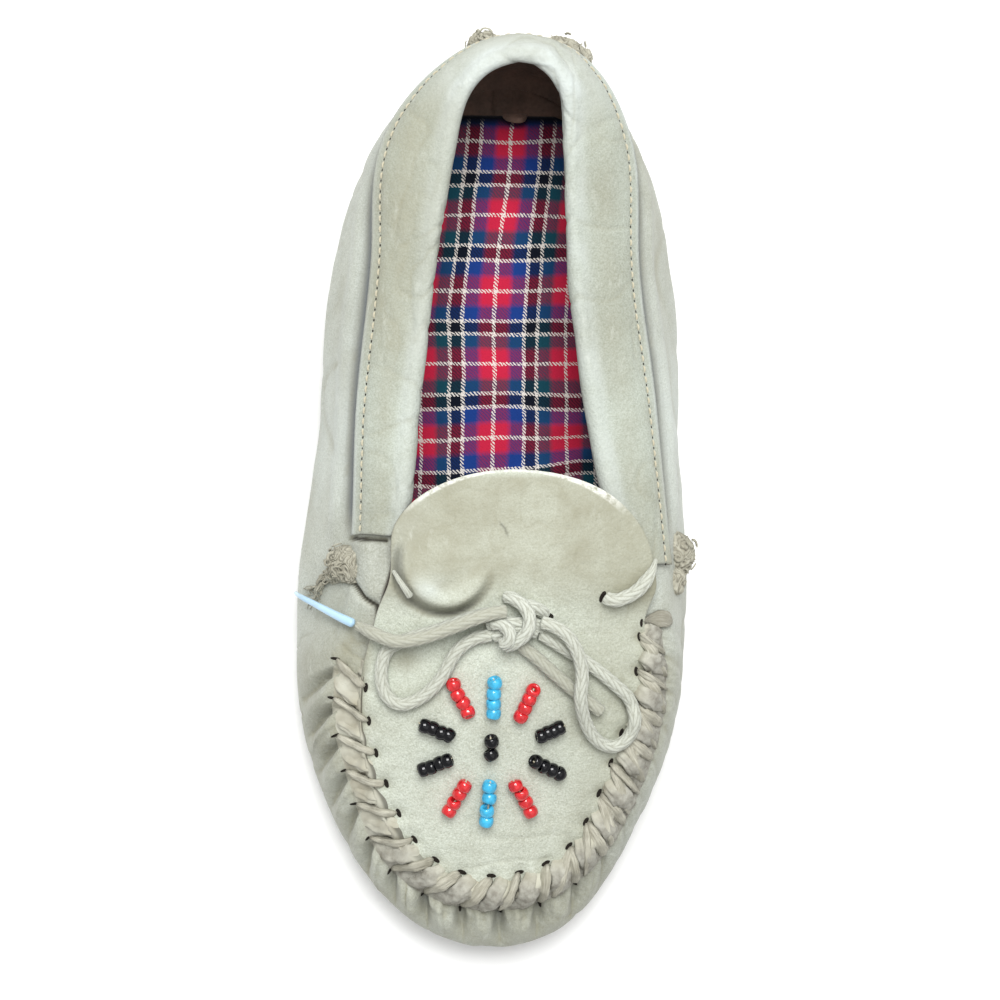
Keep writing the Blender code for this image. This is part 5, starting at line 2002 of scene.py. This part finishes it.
KNOTS = (
    ThongKnot(
        "side_knot_outer", -100.6, 1.87, 16,
        (
            Lump(0.2, 1.4, 10.4, 10.4, 4.4, 1.0), Lump(0.0, -3.0, 9.0, 5.6, 3.6, 1.0),
            Lump(-3.4, 5.6, 4.6, 5.0, 2.0, 0.8),
        ),
        (
            ((-101.0, 1.66, 1.2), (-101.6, 1.56, 0.8), (-102.2, 1.44, 0.5), (-102.4, 1.3, 0.4)),
            ((-101.4, 1.7, 1.2), (-102.4, 1.6, 0.8), (-103.4, 1.5, 0.5), (-104.6, 1.42, 0.4)),
        ),
    ),
    ThongKnot(
        "side_knot_inner", 99.9, 1.66, 6,
        (Lump(-2.4, 1.4, 11.8, 9.6, 5.4, 1.0), Lump(4.6, -2.4, 7.4, 6.4, 3.0, 0.8)),
    ),
    ThongKnot("heel_knot_outer", -9.8, 1.74, 7, (Lump(0.0, 0.0, 9.4, 7.0, 4.8, 1.0),)),
    ThongKnot(
        "heel_knot_inner", 13.6, 1.74, 8,
        (Lump(0.0, 0.0, 13.4, 7.4, 4.8, 1.0), Lump(4.4, 0.4, 5.6, 5.6, 4.6, 0.4)),
    ),
)
FIRST_KNOT_SEED = 40


# Beads


class BeadRow(NamedTuple):
    """A row of beads: its node, colour, first and last bead in plan, and how many."""

    node: str
    colour: str
    inner: Row
    outer: Row
    count: int = 4


BEAD_ROWS = (
    BeadRow("bead_row_black_centre", "black", (-4.2, -65.8, 0), (-4.4, -62.6, 0), 2),
    BeadRow("bead_row_blue_top", "blue", (-4.0, -54.9, 0), (-4.0, -46.8, 0)),
    BeadRow("bead_row_red_top_outer", "red", (-10.5, -54.7, 0), (-14.7, -47.4, 0)),
    BeadRow("bead_row_red_top_inner", "red", (3.3, -56.0, 0), (6.2, -49.2, 0)),
    BeadRow("bead_row_black_top_outer", "black", (-15.4, -60.8, 0), (-21.7, -58.2, 0)),
    BeadRow("bead_row_black_top_inner", "black", (8.9, -61.3, 0), (13.7, -59.2, 0)),
    BeadRow("bead_row_black_toe_outer", "black", (-15.8, -67.7, 0), (-21.8, -70.1, 0)),
    BeadRow("bead_row_black_toe_inner", "black", (7.7, -68.5, 0), (14.3, -71.7, 0)),
    BeadRow("bead_row_red_toe_outer", "red", (-11.1, -74.6, 0), (-14.8, -81.7, 0)),
    BeadRow("bead_row_blue_toe", "blue", (-4.2, -74.9, 0), (-4.8, -84.4, 0)),
    BeadRow("bead_row_red_toe_inner", "red", (2.7, -74.6, 0), (6.9, -82.0, 0)),
)


@dataclass
class Beads:
    """Glass seed beads, threaded in short rows on the plug."""

    width: float = 4.0
    length: float = 2.95
    hole: float = 1.1

    def ring(self, centre: Array, axis: Array) -> Patch:
        """One bead: a fat ring round its thread."""
        turn, round_it = turns(26), turns(14)
        side = unit(np.cross(axis, np.array([0.0, 0.0, 1.0]) + 1e-3))
        spoke = np.outer(np.cos(turn), side) + np.outer(np.sin(turn), np.cross(side, axis))
        radius = (self.width + self.hole + (self.width - self.hole) * np.cos(round_it)) / 4
        place = np.outer(self.length / 2 * np.sin(round_it), axis)
        points = (centre + spoke[:, None] * radius[:, None] + place).reshape(-1, 3)
        faces = grid_faces(len(turn) + 1, len(round_it), True) % len(points)
        return Patch(points, [faces])

    def build(self, palette: Palette, under: HeightMap) -> list[Piece]:
        """Builds every row of beads with its thread.

        Args:
            palette: The finishes.
            under: The leather below.

        Returns:
            The rows and their threads.
        """
        pieces, threads = [], []
        rng = np.random.default_rng(8)
        for row in BEAD_ROWS:
            spots = between(np.array(row.inner), np.array(row.outer), np.linspace(0, 1, row.count))
            spots[:, 2] = under.at(spots, 0.9) + self.width / 2 - 0.1
            axis = unit(spots[-1] - spots[0])
            patches = []
            for spot in spots:
                lean = unit(axis + rng.normal(0, 0.2, 3))
                patches.append(self.ring(spot + rng.normal(0, 0.12, 3) * (1, 1, 0.4), lean))
            beads = join(patches)
            slot = "bead_" + row.colour
            pieces.append(beads.make(row.node + "_glass", palette.beads[row.colour], slot, row.node))
            down = (0, 0, 1.5)
            path = [spots[0] - axis * 1.9 - down, *spots, spots[-1] + axis * 1.9 - down]
            threads.append(Strand(smooth_path(path, 0.6), 0.5, 0.5, 6, 0.4).patch())
        return [*pieces, join(threads).make("bead_thread", palette.thread, "leather")]


# The lace


class FarEnd(Enum):
    """What a piece of lace ends in."""

    OBJECT = "object"
    FITTING = "fitting"
    BARE = "bare"


BARS: dict[str, Route] = {
    "lace_bar_inner": (
        (24.6, -24.4, -1.2), (26.0, -25.2, 0), (28.5, -25.2, 0), (33.0, -23.0, 0),
        (36.4, -18.8, 0), (38.2, -14.6, -1.0),
    ),
    "lace_bar_outer": ((-30.3, -17.4, -0.9), (-28.4, -20.6, 0.3), (-25.9, -24.2, -1.2)),
}
ENDS: dict[str, Route] = {
    "lace_loop_outer": (
        (-4.6, -34.2, 0), (-9.4, -35.2, 0), (-13.9, -38.8, 0), (-18.0, -46.1, 0),
        (-22.7, -50.7, 0), (-27.9, -52.6, 0), (-31.8, -50.0, 0), (-33.1, -44.3, 0),
        (-31.6, -38.4, 0), (-26.6, -35.4, 0), (-18.8, -33.0, 0), (-11.0, -30.0, 0),
        (-5.4, -28.4, 0),
    ),
    "lace_end_inner": (
        (1.8, -35.0, 0.4), (3.4, -37.4, 0), (7.1, -40.4, 0), (11.6, -44.4, 0), (16.5, -48.6, 0),
        (21.1, -52.2, 0), (24.8, -55.1, 0),
    ),
    "lace_loop_inner": (
        (7.4, -30.6, 2.6), (11.0, -31.9, 3.6), (14.6, -34.6, 4.3), (17.4, -39.4, 4.3),
        (18.6, -44.8, 4.3), (18.4, -51.0, 4.2), (20.3, -57.5, 1.5), (23.7, -62.6, 0),
        (28.4, -64.6, 0), (32.3, -62.2, 0), (33.8, -57.5, 0), (32.3, -52.0, 0), (28.4, -48.1, 0),
        (22.9, -43.6, 0), (18.6, -40.6, 0), (14.4, -38.0, 0), (10.6, -35.6, 0), (7.6, -33.8, 0),
    ),
    "lace_end_outer": (
        (-1.4, -28.0, 2.6), (-4.4, -28.2, 3.4), (-9.4, -29.6, 4.6), (-16.4, -32.4, 4.6),
        (-23.4, -34.8, 4.6), (-29.8, -35.6, 4.6), (-35.6, -33.6, 2.2), (-39.6, -31.8, 1.0),
    ),
}
TIP: Route = ((-40.0, -31.6, 2.0), (-44.6, -29.6, 2.2), (-50.0, -27.1, 4.6), (-55.0, -24.8, 9.0))
KNOT_SPOT = (1.0, -31.4, 0.0)
KNOT_ROUTES: tuple[Route, ...] = (
    ((-6.4, -31.4, 0.6), (-2.4, -31.0, 2.0), (2.0, -31.2, 2.4), (6.4, -31.6, 1.6), (9.0, -32.6, 0.4)),
    ((-5.0, -34.8, 0.4), (-1.4, -33.2, 1.4), (3.0, -32.4, 2.0), (7.2, -33.8, 0.8)),
    (
        (-1.8, -24.2, 1.2), (0.6, -24.8, 3.2), (3.2, -26.8, 4.8), (4.5, -29.9, 5.4),
        (3.8, -33.3, 5.0), (1.2, -35.9, 3.4), (-1.8, -37.2, 1.4),
    ),
    ((-5.4, -31.2, 2.4), (-2.6, -31.2, 4.0), (-0.6, -33.4, 4.6), (-0.9, -35.8, 4.0), (-2.8, -36.6, 2.2)),
    ((9.6, -29.2, -1.4), (7.8, -27.9, 0.8), (5.4, -26.8, 2.0), (2.4, -26.6, 2.4)),
)


@dataclass
class Lace:
    """The braided lace: its bars, knot, loops and ends."""

    width: float = 3.45
    tip_width: float = 2.2
    gap: float = 0.05
    columns: int = 6
    yarn: float = 3.2
    step: float = 0.42

    def laid(self, route: Route, width: float, under: HeightMap) -> Array:
        """A path that follows a route over the pieces under it.

        Args:
            route: Plan places, with the height above what lies under.
            width: The lace's width.
            under: The pieces it lies on.

        Returns:
            Points of the lace's middle line.
        """
        path = smooth_path(route, self.step)
        rest = under.at(path, width * 0.35) + self.gap + width / 2
        path[:, 2] = smooth_line(rest + path[:, 2], 14)
        return walk(path, self.step)

    def braid(self, along: Array, turn: Array) -> Array:
        """Relief of plaited yarns as a share of the lace's half width."""
        column = turn / math.tau * self.columns
        part = column - np.floor(column)
        lean = np.where(np.floor(column) % 2 == 0, 1.0, -1.0)
        yarn = humps(along / self.yarn + 1.5 * lean * (part - 0.5), 0.6)
        return 0.2 * (yarn * (1 - 0.5 * np.abs(2 * part - 1) ** 4) - 0.75)

    def braided(self, path: Array, flat: float, end: float, swell: Optional[Array] = None) -> Patch:
        """A length of lace along a path.

        Args:
            path: Its middle line.
            flat: Its thickness as a share of its width.
            end: How rounded its ends are.
            swell: Its width along the path, as a share.

        Returns:
            Its patch, with the grooves between the yarns read as "gap", which paints their shade.
        """
        thick = self.width * flat
        strand = Strand(path, self.width, thick, 36, end, relief=self.braid, swell=swell)
        patch = strand.patch()
        along, round_it = patch.spread.T
        relief = self.braid(along, round_it / (self.width * math.pi) * math.tau)
        # Painted shade in the grooves between the yarns.
        return patch.mark(gap=-relief * 11 - 0.1)

    def cord(self, node: str, path: Array, palette: Palette, swell: Array) -> Piece:
        """Makes a length of lace in place of the frame's plain one."""
        # Partly soil and partly painted shade, most on the lace's two ends.
        soil = 0.55 if "end" in node else 0.12
        patch = self.braided(path, 0.9, 0.25, swell).mark(soil=soil)
        return patch.make(node + "_braid", palette.lace, "lace", node)

    def build(self, palette: Palette, leather: Sequence[Piece]) -> list[Piece]:
        """Builds the lace over the leather.

        Args:
            palette: The finishes.
            leather: The pieces it lies on.

        Returns:
            The lace's pieces.
        """
        under = HeightMap(leather)
        bars = {name: self.laid(route, self.width * 0.9, under) for name, route in BARS.items()}
        inner, outer = bars.values()
        swells = {
            "lace_bar_inner": 1.05 - 0.75 * ease(np.linspace(0, 1, len(inner)), 0.6, 1.0),
            "lace_bar_outer": 0.25 + 0.3 * np.linspace(0, 1, len(outer)),
        }
        pieces = [self.cord(name, path, palette, swells[name]) for name, path in bars.items()]
        paths = {name: self.laid(route, self.width, under) for name, route in ENDS.items()}
        cords = {}
        for name, path in paths.items():
            narrow = 0.3 if name == "lace_end_outer" else 0.0
            swell = 1 - narrow * ease(np.linspace(0, 1, len(path)), 0.86, 1.0)
            cords[name] = self.cord(name, path, palette, swell)
        path = self.laid(TIP, self.tip_width, under)
        swell = np.linspace(1.12, 0.42, len(path))
        patch = Strand(path, self.tip_width, self.tip_width, 18, 0.8, swell=swell).patch()
        tip = patch.make("lace_tip", palette.aglet, "aglet", "lace_aglet")
        knot = self.knot(palette, under)
        return [*pieces, *cords.values(), tip, knot]

    def knot(self, palette: Palette, under: HeightMap) -> Piece:
        """The bow's knot: a wrap round the crossing, a tucked lobe and the strand from the slit."""
        lift = (0, 0, float(under.at(np.array(KNOT_SPOT), 2.0)) + 0.4)
        paths = [smooth_path(route, self.step) + lift for route in KNOT_ROUTES]
        knot = join([self.braided(path, 0.85, 0.5) for path in paths])
        return knot.make("bow_knot", palette.lace, "lace", "lace_knot")


# Sole pieces


def sole_outline(inset: float, count: int) -> Array:
    """The sole's outline in plan, moved in by inset."""
    edge = SOLE_EDGE.at(np.linspace(-180, 180, count, endpoint=False))
    inward = unit(quarter_turn(np.roll(edge, 1, axis=0) - np.roll(edge, -1, axis=0)))
    flip = np.sum((inward * edge)[:, :2], axis=1) > 0
    return edge + np.where(flip[:, None], -inward, inward) * inset


@dataclass
class Insole:
    """The padded insole in tartan cloth, with its lining's loose edge."""

    rows: int = 230
    columns: int = 96
    back: float = 107.5
    front: float = -111.0
    thick: float = 2.6
    inset: float = 1.2
    ridge: Route = ((27.0, 14.0), (20.0, 10.0), (12.0, 9.0), (2.0, 6.0))
    crest: Route = ((30.0, 28.0), (24.0, 22.0), (14.0, 20.0))
    curl: Route = ((2.2, 107.0, 8.6), (4.6, 106.0, 10.6), (6.8, 105.8, 11.4), (9.0, 107.2, 9.4))

    def build(self, palette: Palette) -> list[Piece]:
        """Builds the insole with its soft folds and its weave's directions.

        Args:
            palette: The finishes.

        Returns:
            The insole and the lining's edge.
        """
        outline = sole_outline(self.inset, 720)
        outline = outline[np.argsort(outline[:, 1])]
        on_left = outline[:, 0] < np.interp(outline[:, 1], (-120, 120), (-0.5, 4.0))
        left, right = outline[on_left], outline[~on_left]
        y = np.linspace(self.front, self.back, self.rows)[:, None]
        low, high = (np.interp(y, side[:, 1], side[:, 0]) for side in (left, right))
        half = (high - low) / 2 * (1 - 0.22 * ease(y, self.back - 9, self.back) ** 3)
        share = np.sin(np.linspace(-1, 1, self.columns) * math.pi / 2)
        x = (low + high) / 2 + half * share
        y = y + 0 * x
        base = SOLE_TOP + WRAPPER_WALL + FIT_GAP + floor_lift(y)
        edge = np.minimum(np.minimum(x - low, high - x), np.minimum(y - self.front, self.back - y))
        crown = np.sqrt(np.clip(1 - (1 - np.clip(edge / 2.2, 0, 1)) ** 2, 0, 1))
        points = point_of(x, y, base)
        top = point_of(x, y, base + (self.thick * 0.96 + self.folds(points)) * crown)
        patch = thick_sheet(top, points - (0, 0, 0.02))
        across = x - 0.03 - 0.1 * np.clip(y - 51.5, 0, None)
        across += 0.35 * LEATHER.rough(points + 33, 22.0, 2) + 0.25 * LEATHER.at(points + 9, 8.0)
        along = (y - 99.9) * 0.985 - 0.45 + 0.5 * LEATHER.rough(points + 71, 20.0, 2)
        along -= 3.0 * bulge(points, 26.0, 6.0, 12.0, 12.0)
        patch.spread = np.tile(np.stack([across, along], -1).reshape(-1, 2), (2, 1))
        # Painted shadow at the back end, under the heel wall.
        patch.mark(hole=ease(y, self.back - 4.5, self.back - 1.0))
        insole = patch.make("tartan_insole", palette.tartan, "tartan", "insole")
        return [insole, self.loose_edge(palette)]

    def loose_edge(self, palette: Palette) -> Piece:
        """The lining's loose edge, which curls up at the back of the heel."""
        path = smooth_path(self.curl, 0.5)
        swell = 0.2 + 0.8 * humps(np.linspace(0, 1, len(path)), 0.8)
        strand = Strand(path, 2.6, 1.2, 18, 0.4, relief=leaf_relief(4.0), swell=swell)
        return strand.patch().mark(back=1.0).make("lining_edge", palette.leather, "leather")

    def folds(self, points: Array) -> Array:
        """Soft puckers of the cloth, deepest beside the tongue."""
        lift = 0.7 * LEATHER.rough(points * FLAT + 500, 16.0, 2)
        lift += 1.1 * bell(path_distance(points, self.ridge), 2.4)
        return lift + 0.6 * bell(path_distance(points, self.crest), 2.2)


@dataclass
class Outsole:
    """The thin leather outsole, with a stepped edge.

    Each level of its section is a share of the outline's width, an inset and a height.
    """

    count: int = 480
    levels: Route = (
        (0.01, 14.0, 0.0), (0.55, 14.0, 0.0), (1, 6.0, 0.0), (1, 1.6, 0.0), (1, 0.8, 0.05),
        (1, 0.35, 0.22), (1, 0.1, 0.5), (1, 0.0, 0.9), (1, 0.05, 1.25), (1, 0.25, 1.4),
        (1, 0.75, 1.46), (1, 0.85, 1.6), (1, 0.8, 2.0), (1, 0.85, 2.3), (1, 1.1, 2.4),
        (1, 6.0, 2.4),
    )

    def build(self, palette: Palette) -> Piece:
        """Builds the dressed outsole.

        Args:
            palette: The finishes.

        Returns:
            The outsole.
        """
        rings = [sole_outline(inset, self.count) * (width, 1, 1) for width, inset, _ in self.levels]
        front = np.stack(rings)
        height = np.array(self.levels)[:, 2, None]
        front[..., 2] = height + floor_lift(front[..., 1])
        wear = LEATHER.rough(front + 700, 14.0, 2) * 0.06
        front[6:14] += unit(front[6:14] * FLAT) * wear[6:14, :, None]
        shell = Patch(front.reshape(-1, 3), [grid_faces(len(front), self.count, True)])
        lid = np.concatenate([front[-1], front[-1] * (0.01, 1, 1)])
        whole = join([shell, Patch(lid, [grid_faces(2, self.count, True)])])
        return whole.make("leather_outsole", palette.sole, "sole_leather", "outsole")


# The set


@dataclass
class Studio:
    """Floor, camera and light."""

    camera_spot: Row = (-60.3, 4.5, 650.0)
    aim: Row = (0.0, 0.5, 25.0)
    lens: float = 83.6
    sensor: float = 36.0
    sky: float = 0.52
    floor_reach: float = 900.0
    curl_from: float = 650.0

    def build(self, palette: Palette) -> None:
        """Builds the set round the shoe.

        Args:
            palette: The finishes.
        """
        scene = bpy.context.scene
        camera = bpy.data.cameras.new("camera")
        camera.lens = self.lens
        camera.sensor_width = self.sensor
        holder = self.place("camera", camera, Vector(self.camera_spot) * MM)
        look = Vector(self.aim) * MM - Vector(self.camera_spot) * MM
        right = look.cross(Vector((0, 1, 0))).normalized()
        turn = Matrix((right, right.cross(look).normalized(), -look.normalized())).transposed()
        holder.rotation_euler = turn.to_euler()
        scene.camera = holder
        self.floor(palette)
        self.light("key", (-0.05, 0.40, 1.05), 0.55, 13.8)
        self.light("fill", (0.3, -0.2, 1.2), 1.2, 2.4)
        world = bpy.data.worlds.new("studio")
        scene.world = world
        world.use_nodes = True
        sky = world.node_tree.nodes["Background"]
        sky.inputs["Color"].default_value = (1.0, 1.0, 1.0, 1.0)
        sky.inputs["Strength"].default_value = self.sky
        scene.view_settings.view_transform = "Standard"

    def place(self, name: str, data: bpy.types.ID, spot: Vector) -> Piece:
        """Puts a camera or a lamp in the scene."""
        holder = bpy.data.objects.new(name, data)
        holder.location = spot
        bpy.context.scene.collection.objects.link(holder)
        return holder

    def floor(self, palette: Palette) -> None:
        """A wide pale floor with a gentle curl at its edges."""
        side = np.linspace(-self.floor_reach, self.floor_reach, 41)
        x, y = np.meshgrid(side, side, indexing="ij")
        far = np.maximum(np.abs(x), np.abs(y))
        z = -0.02 + 60.0 * ease(far, self.curl_from, self.floor_reach) ** 2
        patch = Patch(point_of(x, y, z).reshape(-1, 3), [grid_faces(*x.shape)])
        patch.make("floor", palette.floor)

    def light(self, name: str, spot: Row, size: float, power: float) -> None:
        """A soft square light aimed at the shoe."""
        lamp = bpy.data.lights.new(name, "AREA")
        lamp.size = size
        lamp.energy = power
        holder = self.place(name, lamp, Vector(spot))
        aim = Vector((0, 0, 0.02)) - Vector(spot)
        holder.rotation_euler = aim.to_track_quat("-Z", "Y").to_euler()


def report(pieces: Sequence[Piece]) -> None:
    """Logs each finished piece with its number of faces."""
    for piece in pieces:
        LOG.info("built %s, %d faces", piece.name, len(piece.data.polygons))


def main() -> None:
    """Builds the shoe piece by piece, then its set."""
    palette = Palette()
    Studio().build(palette)
    wrapper = Wrapper().build(palette)
    collar, *sewing = Collar().build(palette)
    report([wrapper, collar, *sewing])
    plug = Plug().build(palette, HeightMap([wrapper, collar]))
    joint = HeightMap([wrapper, collar, plug])
    lacing = ToeLacing().build(palette, joint)
    report([plug, *lacing])
    report(HeelLacing().build(palette))
    report([knot.build(palette, FIRST_KNOT_SEED + number) for number, knot in enumerate(KNOTS)])
    report(Beads().build(palette, joint))
    report(Lace().build(palette, [wrapper, collar, plug, lacing[0], lacing[1]]))
    report([*Insole().build(palette), Outsole().build(palette)])


if __name__ == "__main__":
    logging.basicConfig(level=logging.INFO, format="%(name)s: %(message)s")
    main()
